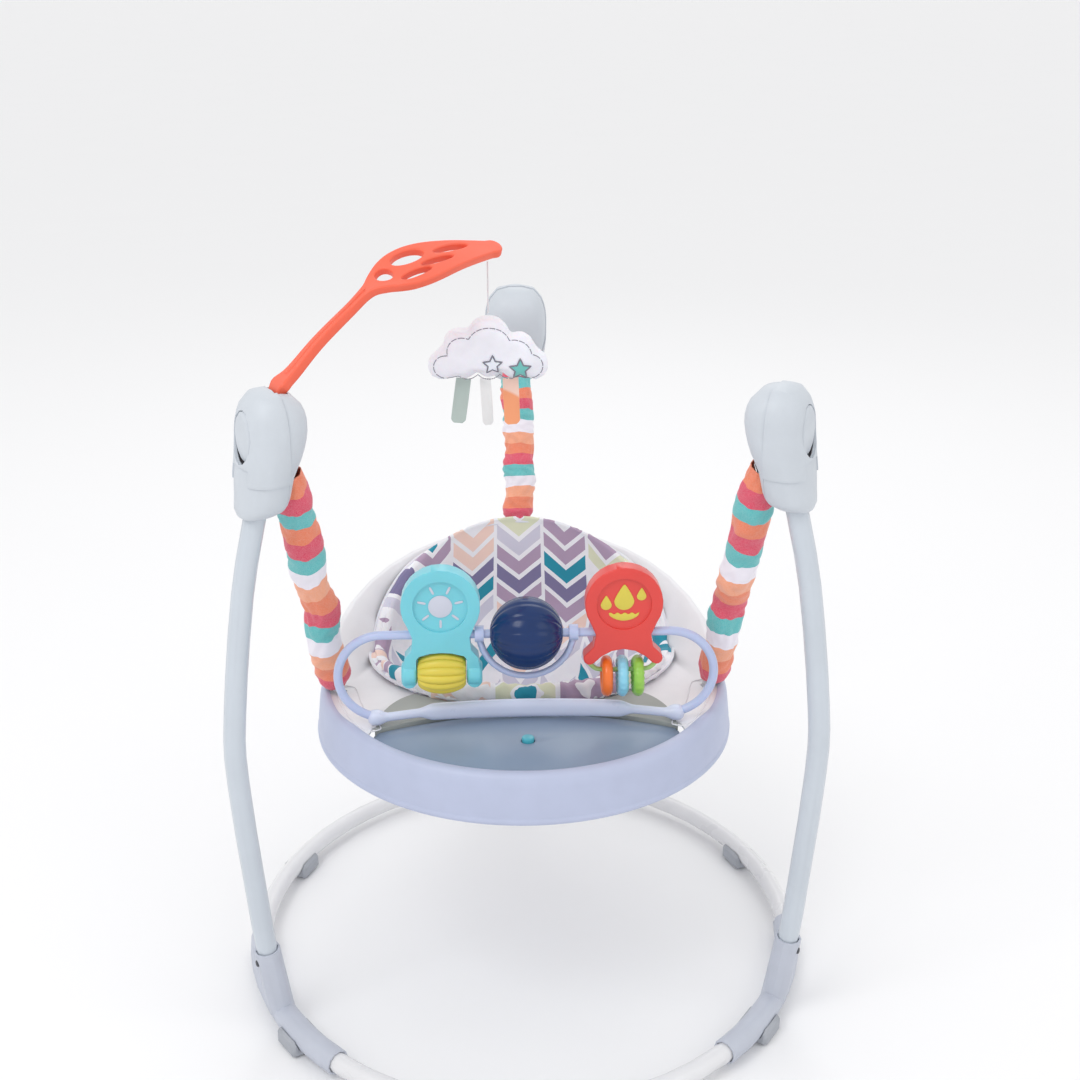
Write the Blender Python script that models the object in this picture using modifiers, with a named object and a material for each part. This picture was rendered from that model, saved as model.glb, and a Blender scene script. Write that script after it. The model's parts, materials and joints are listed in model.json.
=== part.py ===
"""Baby activity jumper: a floor hoop, three bowed posts with spring housings, and a hung toy tray seat.

Metres, +Z up, +Y towards the rear post.  Every piece is placed from the middle of the hoop, and the last
step moves the whole object by CENTRE_SHIFT, so that the origin is on the floor under the middle of its box.
"""
import math

import bmesh
import bpy
from mathutils import Matrix, Vector

# ---------------------------------------------------------------- driving dimensions
GAP = 0.0004                 # clearance between pieces that touch
CENTRE_SHIFT = -0.01815      # the rear post's bow reaches further back than the hoop does in front

HOOP_HALF_WIDTH = 0.360
HOOP_HALF_DEPTH = 0.385
HOOP_TUBE_R = 0.0125
HOOP_Z = 0.0215              # height of the hoop's centreline
SOCKET_WALL = 0.0035
SOCKET_GAP = 0.0011          # slide-in clearance of a bent tube in its socket
SOCKET_DEPTH_DEG = 4.0       # how far a hoop tube enters a connector, as an angle round the hoop

POST_R = 0.013
POST_PROFILE = ((0.000, 0.0215), (0.006, 0.06), (0.018, 0.15), (0.0345, 0.36),
                (0.0325, 0.45), (0.012, 0.60), (-0.012, 0.70), (-0.024, 0.755))
POST_SEAM_Z = 0.120          # where the upper post leaves the leg connector
POST_SOCKET_Z = 0.075        # lower end of the post inside its socket
LEG_SLEEVE_R = 0.0165
SNAP_BUTTON_Z = 0.103

# name: (angle round the hoop, connector's arc before and after the leg, in degrees)
LEGS = {"left": (209.0, 25.0, 20.0), "right": (331.0, 20.0, 25.0), "rear": (90.0, 15.0, 15.0)}

# each pod (spring housing) section: height, shift from the leg's radius at the hoop, half depth, half width
POD_MOUTH_Z = 0.693          # the pod's lower end, where the post goes in
POD_SECTIONS = ((0.6935, -0.0110, 0.0200, 0.0210), (0.700, -0.0155, 0.0260, 0.0310),
                (0.714, -0.0198, 0.0285, 0.0360), (0.738, -0.0235, 0.0300, 0.0400),
                (0.758, -0.0300, 0.0335, 0.0420), (0.780, -0.0350, 0.0365, 0.0425),
                (0.800, -0.0370, 0.0365, 0.0415), (0.818, -0.0370, 0.0310, 0.0360),
                (0.830, -0.0360, 0.0210, 0.0260), (0.8345, -0.0360, 0.0080, 0.0100))
POD_HOLE_R = 0.0145
POD_WALL = 0.0025
POD_SPLIT = -0.039           # parting plane, from the leg's radius at the hoop
CAP_Z = 0.785
CAP_HALF_HEIGHT = 0.030
CAP_HALF_WIDTH = 0.022

STRAP_TOP_SHIFT = -0.050     # strap's top end, from the leg's radius at the hoop
STRAP_TOP_Z = 0.745
STRAP_FEET = {"left": (-0.243, -0.022, 0.398), "right": (0.243, -0.022, 0.398),
              "rear": (0.0, 0.2435, 0.508)}
SLEEVE_R = 0.0220
SLEEVE_WALL = 0.0014

TRAY_RIM_R = 0.2635
TRAY_FOOT_R = 0.2680
TRAY_FOOT_Z = 0.335
TRAY_CREST_Z = 0.396
TRAY_BACK_RISE = 0.111       # how much higher the crest is at the middle of the back
LIP_BACK_RISE = 0.085        # the same for the lip of the seat opening
DECK_WALL = 0.003
DECK_Z = 0.386
OPENING_HALF_WIDTH = 0.195
OPENING_HALF_DEPTH = 0.150
OPENING_Y = 0.085
BUTTON_PLACE = (0.0, -0.172)  # the teal button on the console
BUTTON_R = 0.0076

TOY_Y = -0.120               # plane of the toy rail
RAIL_Z = 0.513
RAIL_R = 0.0055
RAIL_HALF_SPAN = 0.174       # middle of each end loop
COLLAR_Z = 0.402
BALL_R = 0.0445
PADDLE_DISC_Z = 0.553
PADDLE_HALF_THICKNESS = 0.011
SUN_PADDLE_X = -0.103
RAIN_PADDLE_X = 0.117
ROLLER_Z = 0.463
ROLLER_R = 0.0255            # at its middle
BEAD_WIRE_Z = 0.4625
BEAD_SPACING = 0.019

ARM_START_SHIFT = -0.044     # arm's plane line, from the left leg's radius at the hoop
CLOUD_CENTRE = Vector((-0.041, -0.022, 0.8425))
CLOUD_HALF_THICKNESS = 0.015
STRING_R = 0.0009

# ---------------------------------------------------------------- scene, collections and finishes
for old in list(bpy.data.objects):
    bpy.data.objects.remove(old, do_unlink=True)
PARTS = bpy.data.collections.new("activity_jumper")
CUTTERS = bpy.data.collections.new("cutters")
for collection in (PARTS, CUTTERS):
    bpy.context.scene.collection.children.link(collection)


def finish(name, colour, roughness, metallic=0.0):
    """A Principled material with one colour."""
    material = bpy.data.materials.new(name)
    material.use_nodes = True
    shader = material.node_tree.nodes["Principled BSDF"]
    shader.inputs["Base Color"].default_value = (*colour, 1.0)
    shader.inputs["Roughness"].default_value = roughness
    shader.inputs["Metallic"].default_value = metallic
    material.diffuse_color = (*colour, 1.0)
    return material


PALE_GREY = finish("pale_grey_plastic", (0.58, 0.62, 0.68), 0.45)
POST_PAINT = finish("post_paint", (0.58, 0.63, 0.69), 0.35)
HOOP_PAINT = finish("hoop_paint", (0.76, 0.76, 0.78), 0.35)
CONNECTOR_GREY = finish("connector_plastic", (0.52, 0.55, 0.63), 0.45)
FOOT_GREY = finish("foot_rubber", (0.42, 0.44, 0.48), 0.75)
STEEL = finish("steel", (0.55, 0.56, 0.58), 0.3, 1.0)
DARK = finish("dark_plastic", (0.05, 0.055, 0.065), 0.5)
CORAL = finish("coral_plastic", (0.87, 0.16, 0.09), 0.4)
WHITE_DECK = finish("tray_white", (0.84, 0.84, 0.86), 0.4)
SKIRT_LILAC = finish("tray_skirt", (0.46, 0.50, 0.66), 0.45)
SLATE = finish("console_slate", (0.26, 0.33, 0.44), 0.35)
LILAC = finish("toy_rail_lilac", (0.48, 0.54, 0.76), 0.35)
PALE_LILAC = finish("front_bar_lilac", (0.68, 0.71, 0.86), 0.35)
TEAL = finish("teal_plastic", (0.19, 0.61, 0.72), 0.35)
YELLOW = finish("yellow_plastic", (0.73, 0.60, 0.08), 0.4)
NAVY = finish("navy_plastic", (0.01, 0.035, 0.14), 0.15)
RED = finish("red_plastic", (0.75, 0.06, 0.05), 0.35)
GREEN = finish("green_plastic", (0.33, 0.62, 0.10), 0.4)
ORANGE = finish("orange_plastic", (0.88, 0.19, 0.03), 0.4)
SKY = finish("sky_plastic", (0.27, 0.64, 0.82), 0.4)
CLOTH = finish("printed_cloth", (0.82, 0.82, 0.86), 0.9)
STRIPES = finish("striped_cloth", (0.85, 0.30, 0.25), 0.9)
WEBBING = finish("webbing", (0.7, 0.7, 0.72), 0.9)


# ---------------------------------------------------------------- building helpers
def add_object(name, data, material, collection=PARTS):
    thing = bpy.data.objects.new(name, data)
    collection.objects.link(thing)
    if material is not None:
        data.materials.append(material)
    return thing


def mesh_object(name, bm, material, collection=PARTS, smooth_angle=40.0):
    mesh = bpy.data.meshes.new(name)
    bm.to_mesh(mesh)
    bm.free()
    mesh.shade_smooth()
    mesh.set_sharp_from_angle(angle=math.radians(smooth_angle))
    return add_object(name, mesh, material, collection)


def smooth_path(points, per_span=4):
    """Points along a smooth curve through the given points."""
    knots = [Vector(point) for point in points]
    knots = [2 * knots[0] - knots[1]] + knots + [2 * knots[-1] - knots[-2]]
    path = []
    for index in range(1, len(knots) - 2):
        before, start, end, after = knots[index - 1:index + 3]
        for step in range(per_span):
            t = step / per_span
            path.append(0.5 * (2 * start + (end - before) * t
                               + (2 * before - 5 * start + 4 * end - after) * t ** 2
                               + (3 * start - before - 3 * end + after) * t ** 3))
    path.append(knots[-2])
    return path


def tube(name, points, radius, material, resolution=4, collection=PARTS):
    """A round tube along a polyline, with filled ends."""
    curve = bpy.data.curves.new(name, "CURVE")
    curve.dimensions = "3D"
    curve.bevel_depth = radius
    curve.bevel_resolution = resolution
    curve.use_fill_caps = True
    spline = curve.splines.new("POLY")
    spline.points.add(len(points) - 1)
    for point, place in zip(spline.points, points):
        point.co = (*place, 1.0)
    return add_object(name, curve, material, collection)


def flat_outline(name, outlines, half_thickness, material, collection=PARTS):
    """A flat plate from closed outlines in its own XY plane; inner outlines are holes."""
    curve = bpy.data.curves.new(name, "CURVE")
    curve.dimensions = "2D"
    curve.fill_mode = "BOTH"
    curve.extrude = half_thickness
    for outline in outlines:
        spline = curve.splines.new("POLY")
        spline.points.add(len(outline) - 1)
        spline.use_cyclic_u = True
        for point, place in zip(spline.points, outline):
            point.co = (place[0], place[1], 0.0, 1.0)
    return add_object(name, curve, material, collection)


def as_mesh(thing, smooth_angle=40.0):
    """Turn a curve object into a welded mesh object of the same name and place."""
    name = thing.name
    collection = thing.users_collection[0]
    material = thing.data.materials[0] if thing.data.materials else None
    bpy.context.view_layer.update()
    evaluated = thing.evaluated_get(bpy.context.evaluated_depsgraph_get())
    mesh = bpy.data.meshes.new_from_object(evaluated)
    place = thing.matrix_world.copy()
    bpy.data.objects.remove(thing, do_unlink=True)
    bm = bmesh.new()
    bm.from_mesh(mesh)
    bmesh.ops.remove_doubles(bm, verts=bm.verts, dist=0.00002)
    bmesh.ops.recalc_face_normals(bm, faces=bm.faces)
    solid = mesh_object(name, bm, material, collection, smooth_angle)
    solid.matrix_world = place
    return solid


def loft(name, rings, material, cap_first=True, cap_last=True, wall=0.0, collection=PARTS, closed=False):
    """Faces between rings that run anticlockwise seen from the last ring; wall thickens inwards."""
    bm = bmesh.new()
    loops = [[bm.verts.new(place) for place in ring] for ring in rings]
    pairs = list(zip(loops, loops[1:]))
    if closed:
        pairs.append((loops[-1], loops[0]))
    for lower, upper in pairs:
        for index in range(len(lower)):
            following = (index + 1) % len(lower)
            bm.faces.new((lower[index], lower[following], upper[following], upper[index]))
    if cap_first and not closed:
        bm.faces.new(list(reversed(loops[0])))
    if cap_last and not closed:
        bm.faces.new(loops[-1])
    thing = mesh_object(name, bm, material, collection)
    if wall:
        thicken(thing, wall)
    return thing


def thicken(thing, wall):
    modifier = thing.modifiers.new("wall", "SOLIDIFY")
    modifier.thickness = wall
    modifier.offset = -1.0
    modifier.use_even_offset = True


def boolean(thing, other, operation="DIFFERENCE"):
    other.hide_render = True
    other.display_type = "WIRE"
    modifier = thing.modifiers.new(operation.lower(), "BOOLEAN")
    modifier.operation = operation
    modifier.object = other
    return thing


def cutter_tube(name, points, radius, resolution=4):
    return as_mesh(tube(name, points, radius, None, resolution, CUTTERS))


def cylinder(name, centre, axis, radius, length, material, segments=20, collection=PARTS, radius_end=None):
    bm = bmesh.new()
    bmesh.ops.create_cone(bm, cap_ends=True, segments=segments, radius1=radius,
                          radius2=radius if radius_end is None else radius_end, depth=length)
    turn = Vector(axis).to_track_quat("Z", "Y").to_matrix().to_4x4()
    bmesh.ops.transform(bm, matrix=Matrix.Translation(centre) @ turn, verts=bm.verts)
    return mesh_object(name, bm, material, collection)


def box(name, centre, size, material, collection=PARTS, turn=None):
    bm = bmesh.new()
    bmesh.ops.create_cube(bm, size=1.0)
    matrix = Matrix.Translation(centre) @ (turn or Matrix.Identity(4)) @ Matrix.Diagonal((*size, 1.0))
    bmesh.ops.transform(bm, matrix=matrix, verts=bm.verts)
    return mesh_object(name, bm, material, collection)


def round_edges(thing, width, segments=2, angle=35.0):
    modifier = thing.modifiers.new("round_edges", "BEVEL")
    modifier.width = width
    modifier.segments = segments
    modifier.limit_method = "ANGLE"
    modifier.angle_limit = math.radians(angle)
    return thing


def turned(name, profile, centre, axis, material, steps=24, closed=False):
    """A turned solid: (radius, height) pairs from top to bottom, about the given axis."""
    bm = bmesh.new()
    corners = [bm.verts.new((radius, 0.0, height)) for radius, height in profile]
    pairs = list(zip(corners, corners[1:]))
    if closed:
        pairs.append((corners[-1], corners[0]))
    for pair in pairs:
        bm.edges.new(pair)
    thing = mesh_object(name, bm, material)
    modifier = thing.modifiers.new("turn", "SCREW")
    modifier.steps = steps
    modifier.render_steps = steps
    modifier.use_merge_vertices = True
    modifier.merge_threshold = 0.00002
    modifier.use_smooth_shade = True
    thing.location = centre
    thing.rotation_euler = Vector(axis).to_track_quat("Z", "Y").to_euler()
    return thing


def superellipse(half_x, half_y, count, power=2.5):
    """Corner points of a rounded rectangle, anticlockwise."""
    points = []
    for index in range(count):
        angle = 2 * math.pi * index / count
        cosine, sine = math.cos(angle), math.sin(angle)
        points.append((half_x * math.copysign(abs(cosine) ** (2 / power), cosine),
                       half_y * math.copysign(abs(sine) ** (2 / power), sine)))
    return points


def ease(value):
    value = min(1.0, max(0.0, value))
    return value * value * (3 - 2 * value)


# ---------------------------------------------------------------- places on the frame
def hoop_point(degrees, z=HOOP_Z):
    angle = math.radians(degrees)
    return Vector((HOOP_HALF_WIDTH * math.cos(angle), HOOP_HALF_DEPTH * math.sin(angle), z))


def hoop_arc(start, end, step=6.0):
    count = max(2, round(abs(end - start) / step))
    return [hoop_point(start + (end - start) * index / count) for index in range(count + 1)]


class LegFrame:
    """The upright plane of one leg: outward is away from the hoop's middle, along is level and across it."""

    def __init__(self, degrees):
        foot = hoop_point(degrees, 0.0)
        self.radius = foot.length
        self.outward = foot.normalized()
        self.along = Vector((-self.outward.y, self.outward.x, 0.0))

    def at(self, shift, z, across=0.0):
        return self.outward * (self.radius + shift) + self.along * across + Vector((0, 0, z))

    def post_path(self, low, high):
        path = smooth_path([self.at(shift, z) for shift, z in POST_PROFILE], 3)
        inside = [place for place in path if low + 0.004 < place.z < high - 0.004]
        return [self.post_at(low)] + inside + [self.post_at(high)]

    def post_at(self, z):
        path = smooth_path([self.at(shift, height) for shift, height in POST_PROFILE], 16)
        for lower, upper in zip(path, path[1:]):
            if z <= upper.z:
                break
        return lower.lerp(upper, (z - lower.z) / (upper.z - lower.z))


FRAMES = {side: LegFrame(leg[0]) for side, leg in LEGS.items()}
STRAP_TOPS = {side: FRAMES[side].at(STRAP_TOP_SHIFT, STRAP_TOP_Z) for side in LEGS}


def strap_point(side, fraction):
    return STRAP_TOPS[side].lerp(Vector(STRAP_FEET[side]), fraction)


# ---------------------------------------------------------------- floor hoop, connectors and feet
def make_hoop():
    seam = {side: (leg[0] - leg[1], leg[0] + leg[2]) for side, leg in LEGS.items()}
    arcs = {"hoop_front": (seam["left"][1], seam["right"][0]),
            "hoop_rear_left": (seam["rear"][1], seam["left"][0]),
            "hoop_rear_right": (seam["right"][1] - 360.0, seam["rear"][0])}
    for name, (start, end) in arcs.items():
        tube(name, hoop_arc(start - SOCKET_DEPTH_DEG, end + SOCKET_DEPTH_DEG), HOOP_TUBE_R, HOOP_PAINT, 3)
    for side, (start, end) in seam.items():
        make_connector(side, start, end)


def make_connector(side, start, end):
    """One cast sleeve round the hoop with a socket that rises into the post."""
    frame = FRAMES[side]
    body = as_mesh(tube(f"connector_{side}", hoop_arc(start, end), HOOP_TUBE_R + SOCKET_WALL,
                        CONNECTOR_GREY, 3))
    riser = cutter_tube(f"riser_{side}", frame.post_path(HOOP_Z, POST_SEAM_Z), LEG_SLEEVE_R, 3)
    boolean(body, riser, "UNION")
    depth = SOCKET_DEPTH_DEG + 0.3
    ends = {"first": (start - 1.0, start + depth), "last": (end - depth, end + 1.0)}
    for label, (low, high) in ends.items():
        boolean(body, cutter_tube(f"socket_{side}_{label}", hoop_arc(low, high, 2.65), HOOP_TUBE_R + SOCKET_GAP, 3))
    above_seam = frame.post_at(POST_SEAM_Z + 0.01)
    socket = frame.post_path(POST_SOCKET_Z - GAP, POST_SEAM_Z) + [above_seam]
    boolean(body, cutter_tube(f"post_socket_{side}", socket, POST_R + SOCKET_GAP, 3))
    centre = frame.post_at(SNAP_BUTTON_Z)
    boolean(body, cylinder(f"button_hole_{side}", centre + frame.outward * 0.015, frame.outward, 0.0045,
                           0.006, None, 12, CUTTERS))
    cylinder(f"snap_button_{side}", centre + frame.outward * 0.0155, frame.outward, 0.0041, 0.0036,
             DARK, 12)


def make_feet():
    """Rubber blocks clipped under the hoop: the rear ones on its tube, the front ones on the connectors."""
    on_tube = HOOP_TUBE_R + SOCKET_GAP
    on_connector = HOOP_TUBE_R + SOCKET_WALL + 2 * GAP
    feet = {"foot_rear_left": (155.0, on_tube), "foot_rear_right": (25.0, on_tube),
            "foot_front_left": (216.5, on_connector), "foot_front_right": (323.5, on_connector)}
    for name, (degrees, seat_r) in feet.items():
        place = hoop_point(degrees, 0.0)
        ahead = hoop_point(degrees + 1.0, 0.0) - hoop_point(degrees - 1.0, 0.0)
        turn = Matrix.Rotation(math.atan2(ahead.y, ahead.x), 4, "Z")
        foot = box(name, place + Vector((0, 0, 0.0115)), (0.044, 2 * seat_r + 0.008, 0.023), FOOT_GREY,
                   turn=turn)
        round_edges(foot, 0.004, 1)
        boolean(foot, cutter_tube(f"{name}_seat", hoop_arc(degrees - 7, degrees + 7, 3.5), seat_r, 3))


# ---------------------------------------------------------------- posts and spring housings
def blended_sections(first=2, last=7):
    """The pod's sections with one more between each two of the rounded stretch, on a smooth curve."""
    sections = [POD_SECTIONS[0]]
    for index in range(1, len(POD_SECTIONS)):
        if first <= index <= last:
            before, start, end, after = POD_SECTIONS[index - 2:index + 2]
            sections.append(tuple((9 * (a + b) - c - d) / 16 for a, b, c, d in zip(start, end, before, after)))
        sections.append(POD_SECTIONS[index])
    return sections


def pod_rings(side, count=18):
    frame = FRAMES[side]
    mouth = frame.post_at(POD_MOUTH_Z) - frame.outward * frame.radius
    shift = mouth.x * frame.outward.x + mouth.y * frame.outward.y
    sections = [(POD_MOUTH_Z, shift, POD_HOLE_R, POD_HOLE_R)] + blended_sections()
    rings = []
    for z, centre, half_depth, half_width in sections:
        power = 2.0 if half_depth < 0.02 else 2.5
        rings.append([frame.at(centre + x, z, y)
                      for x, y in superellipse(half_depth, half_width, count, power)])
    return rings


def make_pod(side):
    """Two half shells parted on an upright plane, an oval cap, and the pin that the spring hangs on."""
    frame = FRAMES[side]
    strap_way = cutter_tube(f"strap_way_{side}", [strap_point(side, f) for f in (-0.02, 0.10)], 0.0185, 3)
    strap_mouth = cutter_tube(f"strap_mouth_{side}", [strap_point(side, f) for f in (0.05, 0.35)],
                              SLEEVE_R + 0.002, 3)
    strap_drop = cylinder(f"strap_drop_{side}", frame.at(-0.056, 0.685), (0, 0, 1), 0.024, 0.03, None, 16,
                          CUTTERS)
    level_turn = Matrix.Rotation(math.atan2(frame.outward.y, frame.outward.x), 4, "Z")
    for half, sign in (("inner", -1.0), ("outer", 1.0)):
        shell = loft(f"housing_{half}_{side}", pod_rings(side), PALE_GREY, cap_first=False, wall=POD_WALL)
        if side == "left":
            boolean(shell, box(f"arm_slot_{half}", frame.at(ARM_START_SHIFT, 0.826), (0.0168, 0.031, 0.05),
                               None, CUTTERS, level_turn))
        boolean(shell, strap_way)
        boolean(shell, strap_mouth)
        boolean(shell, strap_drop)
        if half == "outer":
            boolean(shell, oval_plug(f"cap_hole_{side}", frame, (-0.030, 0.020), GAP, CUTTERS))
        other_half = frame.at(POD_SPLIT - sign * (0.06 - GAP / 2), 0.76)
        boolean(shell, box(f"parting_{half}_{side}", other_half, (0.12, 0.12, 0.20), None, CUTTERS,
                           level_turn))
    cap = oval_plug(f"housing_cap_{side}", frame, (-0.012, -0.0005), -GAP / 2, PARTS)
    cap.data.materials.append(PALE_GREY)
    cylinder(f"spring_pin_{side}", frame.at(STRAP_TOP_SHIFT + 0.004, STRAP_TOP_Z + 0.008), frame.along,
             0.003, 0.050, STEEL, 12)


def oval_plug(name, frame, span, grow, collection):
    """An oval rod that points outwards; span is its inner and outer end from the leg's radius."""
    rings = []
    for shift, scale in ((span[0], 1.0), (span[1] - 0.003, 1.0), (span[1], 0.86)):
        rings.append([frame.at(shift, CAP_Z + y * scale, x * scale)
                      for x, y in superellipse(CAP_HALF_WIDTH + grow, CAP_HALF_HEIGHT + grow, 16, 2.0)])
    return loft(name, rings, None, collection=collection)


def make_posts():
    for side, frame in FRAMES.items():
        tube(f"post_{side}", frame.post_path(POST_SOCKET_Z, 0.752), POST_R, POST_PAINT, 3)
        make_pod(side)


# ---------------------------------------------------------------- springs, straps and sleeves
def cross_frame(side):
    """Two directions square to a strap's line: one level, one the other way."""
    line = (strap_point(side, 1.0) - strap_point(side, 0.0)).normalized()
    level = line.cross(Vector((0, 0, 1))).normalized()
    return line, level, level.cross(line)


def make_spring(side, coils=7, per_coil=7, coil_r=0.0105, wire_r=0.0015):
    _, level, other = cross_frame(side)
    start, end = 0.005, 0.46
    points = []
    for index in range(coils * per_coil + 1):
        turn = 2 * math.pi * index / per_coil
        middle = strap_point(side, start + (end - start) * index / (coils * per_coil))
        points.append(middle + (level * math.cos(turn) + other * math.sin(turn)) * coil_r)
    tube(f"spring_{side}", points, wire_r, STEEL, 1)


def make_strap(side, start=0.475, end=1.045):
    """Flat webbing from the spring's lower end down through a slot in the tray."""
    _, level, other = cross_frame(side)
    rings = []
    for fraction in (start, end):
        middle = strap_point(side, fraction)
        rings.append([middle + level * x + other * y
                      for x, y in ((-0.0115, -0.001), (0.0115, -0.001), (0.0115, 0.001), (-0.0115, 0.001))])
    strap = loft(f"strap_{side}", rings, WEBBING)
    flip_if_inside_out(strap)


def flip_if_inside_out(thing):
    bm = bmesh.new()
    bm.from_mesh(thing.data)
    bmesh.ops.recalc_face_normals(bm, faces=bm.faces)
    bm.to_mesh(thing.data)
    bm.free()


def make_sleeve(side, sides=12, rows=5):
    """A gathered cloth tube over the spring and strap, open at both ends."""
    _, level, other = cross_frame(side)
    rings = []
    for row in range(rows + 1):
        t = row / rows
        radius = SLEEVE_R * (0.76 + 0.24 * ease(t / 0.14))
        middle = strap_point(side, 0.03 + 0.945 * t)
        rings.append([middle + (level * math.cos(a) + other * math.sin(a)) * radius
                      for a in (2 * math.pi * index / sides for index in range(sides))])
    rings = [list(reversed(ring)) for ring in rings]
    loft(f"sleeve_{side}", rings, STRIPES, False, False, SLEEVE_WALL)


# ---------------------------------------------------------------- tray
TRAY_SIDES = 40


def back_rise(degrees):
    """0 at the front and sides, 1 at the middle of the back."""
    sine = math.sin(math.radians(degrees))
    return max(0.0, sine) ** 0.75 * ease((sine + 0.02) / 0.25) if sine > -0.02 else 0.0


def opening_point(degrees, grow, z):
    angle = math.radians(degrees)
    return Vector(((OPENING_HALF_WIDTH + grow) * math.cos(angle),
                   OPENING_Y + (OPENING_HALF_DEPTH + grow) * math.sin(angle), z))


def rim_point(degrees, radius, z):
    angle = math.radians(degrees)
    return Vector((radius * math.cos(angle), radius * math.sin(angle), z))


def tray_angles():
    return [360.0 * index / TRAY_SIDES for index in range(TRAY_SIDES)]


def make_deck():
    """The white top: down-turned rim, crest, dished deck and the lip of the seat opening."""
    rings = [[] for _ in range(7)]
    for degrees in tray_angles():
        crest = TRAY_CREST_Z + TRAY_BACK_RISE * back_rise(degrees)
        lip = DECK_Z + LIP_BACK_RISE * back_rise(degrees)
        outer = rim_point(degrees, 0.250, crest - 0.002)
        inner = opening_point(degrees, 0.0, lip)
        rings[0].append(rim_point(degrees, TRAY_RIM_R, crest - 0.016))
        rings[1].append(rim_point(degrees, 0.2605, crest - 0.005))
        rings[2].append(rim_point(degrees, 0.2555, crest))
        rings[3].append(outer)
        rings[4].append(outer.lerp(inner, 0.30) - Vector((0, 0, 0.003)))
        rings[5].append(inner)
        rings[6].append(opening_point(degrees, -0.001, lip - 0.010))
    deck = loft("tray_deck", rings, WHITE_DECK, False, False, DECK_WALL)
    boolean(deck, console_solid("console_cutout", 0.0015, ((0.30, 1.0), (0.42, 1.0)), CUTTERS))
    for side in LEGS:
        foot = Vector(STRAP_FEET[side])
        _, level, _ = cross_frame(side)
        turn = Matrix.Rotation(math.atan2(level.y, level.x), 4, "Z")
        boolean(deck, box(f"strap_slot_{side}", foot, (0.027, 0.013, 0.06), None, CUTTERS, turn))


def make_skirt():
    """The lilac outer wall, from under the rim down to a small turned-in foot."""
    rings = [[] for _ in range(4)]
    for degrees in tray_angles():
        top = TRAY_CREST_Z + TRAY_BACK_RISE * back_rise(degrees) - 0.0178
        rings[0].append(rim_point(degrees, TRAY_FOOT_R - 0.009, TRAY_FOOT_Z))
        rings[1].append(rim_point(degrees, TRAY_FOOT_R + 0.001, TRAY_FOOT_Z + 0.001))
        rings[2].append(rim_point(degrees, TRAY_FOOT_R, TRAY_FOOT_Z + 0.007))
        rings[3].append(rim_point(degrees, TRAY_RIM_R, top))
    loft("tray_skirt", rings, SKIRT_LILAC, False, False, DECK_WALL)


def console_outline(grow, half_length=0.192, front_r=0.2425, back_y=-0.083, end_y=-0.128):
    """Lens outline, anticlockwise: a front arc that follows the rim and a flatter back edge."""
    count = 16
    points = []
    for index in range(count + 1):
        x = (half_length + grow) * math.sin(math.pi * (index / count - 0.5))
        y = -math.sqrt(max(0.0, (front_r + grow) ** 2 - x * x))
        points.append((x, min(y, end_y - 0.004)))
    for index in range(1, count):
        x = -(half_length + grow) * math.sin(math.pi * (index / count - 0.5))
        points.append((x, back_y + grow + (end_y - back_y) * (x / half_length) ** 2))
    return points


def console_solid(name, grow, levels, collection):
    """A stack of lens outlines; each level is (height, scale about the lens's middle)."""
    middle_y = -0.155
    rings = []
    for z, scale in levels:
        rings.append([Vector((x * scale, middle_y + (y - middle_y) * scale, z))
                      for x, y in console_outline(grow)])
    return loft(name, rings, None, collection=collection)


def make_console():
    levels = ((0.370, 1.0), (0.3790, 1.0), (0.3845, 0.965), (0.3892, 0.82), (0.3925, 0.60), (0.3945, 0.30))
    console = console_solid("console_cover", 0.0, levels, PARTS)
    console.data.materials.append(SLATE)
    well = cylinder("button_well", (*BUTTON_PLACE, 0.398), (0, 0, 1), BUTTON_R + 0.0007, 0.024, None, 24,
                    CUTTERS)
    boolean(console, well)
    cylinder("console_button", (*BUTTON_PLACE, 0.39525), (0, 0, 1), BUTTON_R, 0.0085, TEAL, 20)


def make_seat_hoop():
    points = [opening_point(degrees, -0.010, 0.360) for degrees in range(0, 360, 15)]
    curve = tube("seat_hoop", points, 0.004, STEEL, 2)
    curve.data.splines[0].use_cyclic_u = True


def make_sling():
    """The cloth seat: a raised back, a full ring under the opening and a pouch with two leg holes."""
    levels = ((0.045, 0.045, 0.060, 0.243, 0.0), (0.105, 0.085, 0.066, 0.262, 0.0),
              (0.145, 0.112, 0.075, 0.305, 0.0), (0.158, 0.120, 0.082, 0.345, 0.0),
              (0.183, 0.139, 0.085, 0.378, 0.15), (0.189, 0.144, 0.086, 0.391, 1.0))
    rings = []
    for half_x, half_y, middle_y, z, rise in levels:
        ring = []
        for degrees in tray_angles()[::2]:
            angle = math.radians(degrees)
            lift = rise * back_rise(degrees)
            ring.append(Vector((half_x * math.cos(angle) * (1 - 0.10 * lift),
                                middle_y + half_y * math.sin(angle) + 0.004 * lift, z + 0.125 * lift)))
        rings.append(ring)
    sling = loft("seat_sling", rings, CLOTH, True, False, 0.005)
    for side, x in (("left", -0.068), ("right", 0.068)):
        hole = cylinder(f"leg_hole_{side}", (x, -0.045, 0.296), (x * 2.0, -1.0, -0.10), 0.046, 0.16, None,
                        16, CUTTERS)
        boolean(sling, hole)


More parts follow.
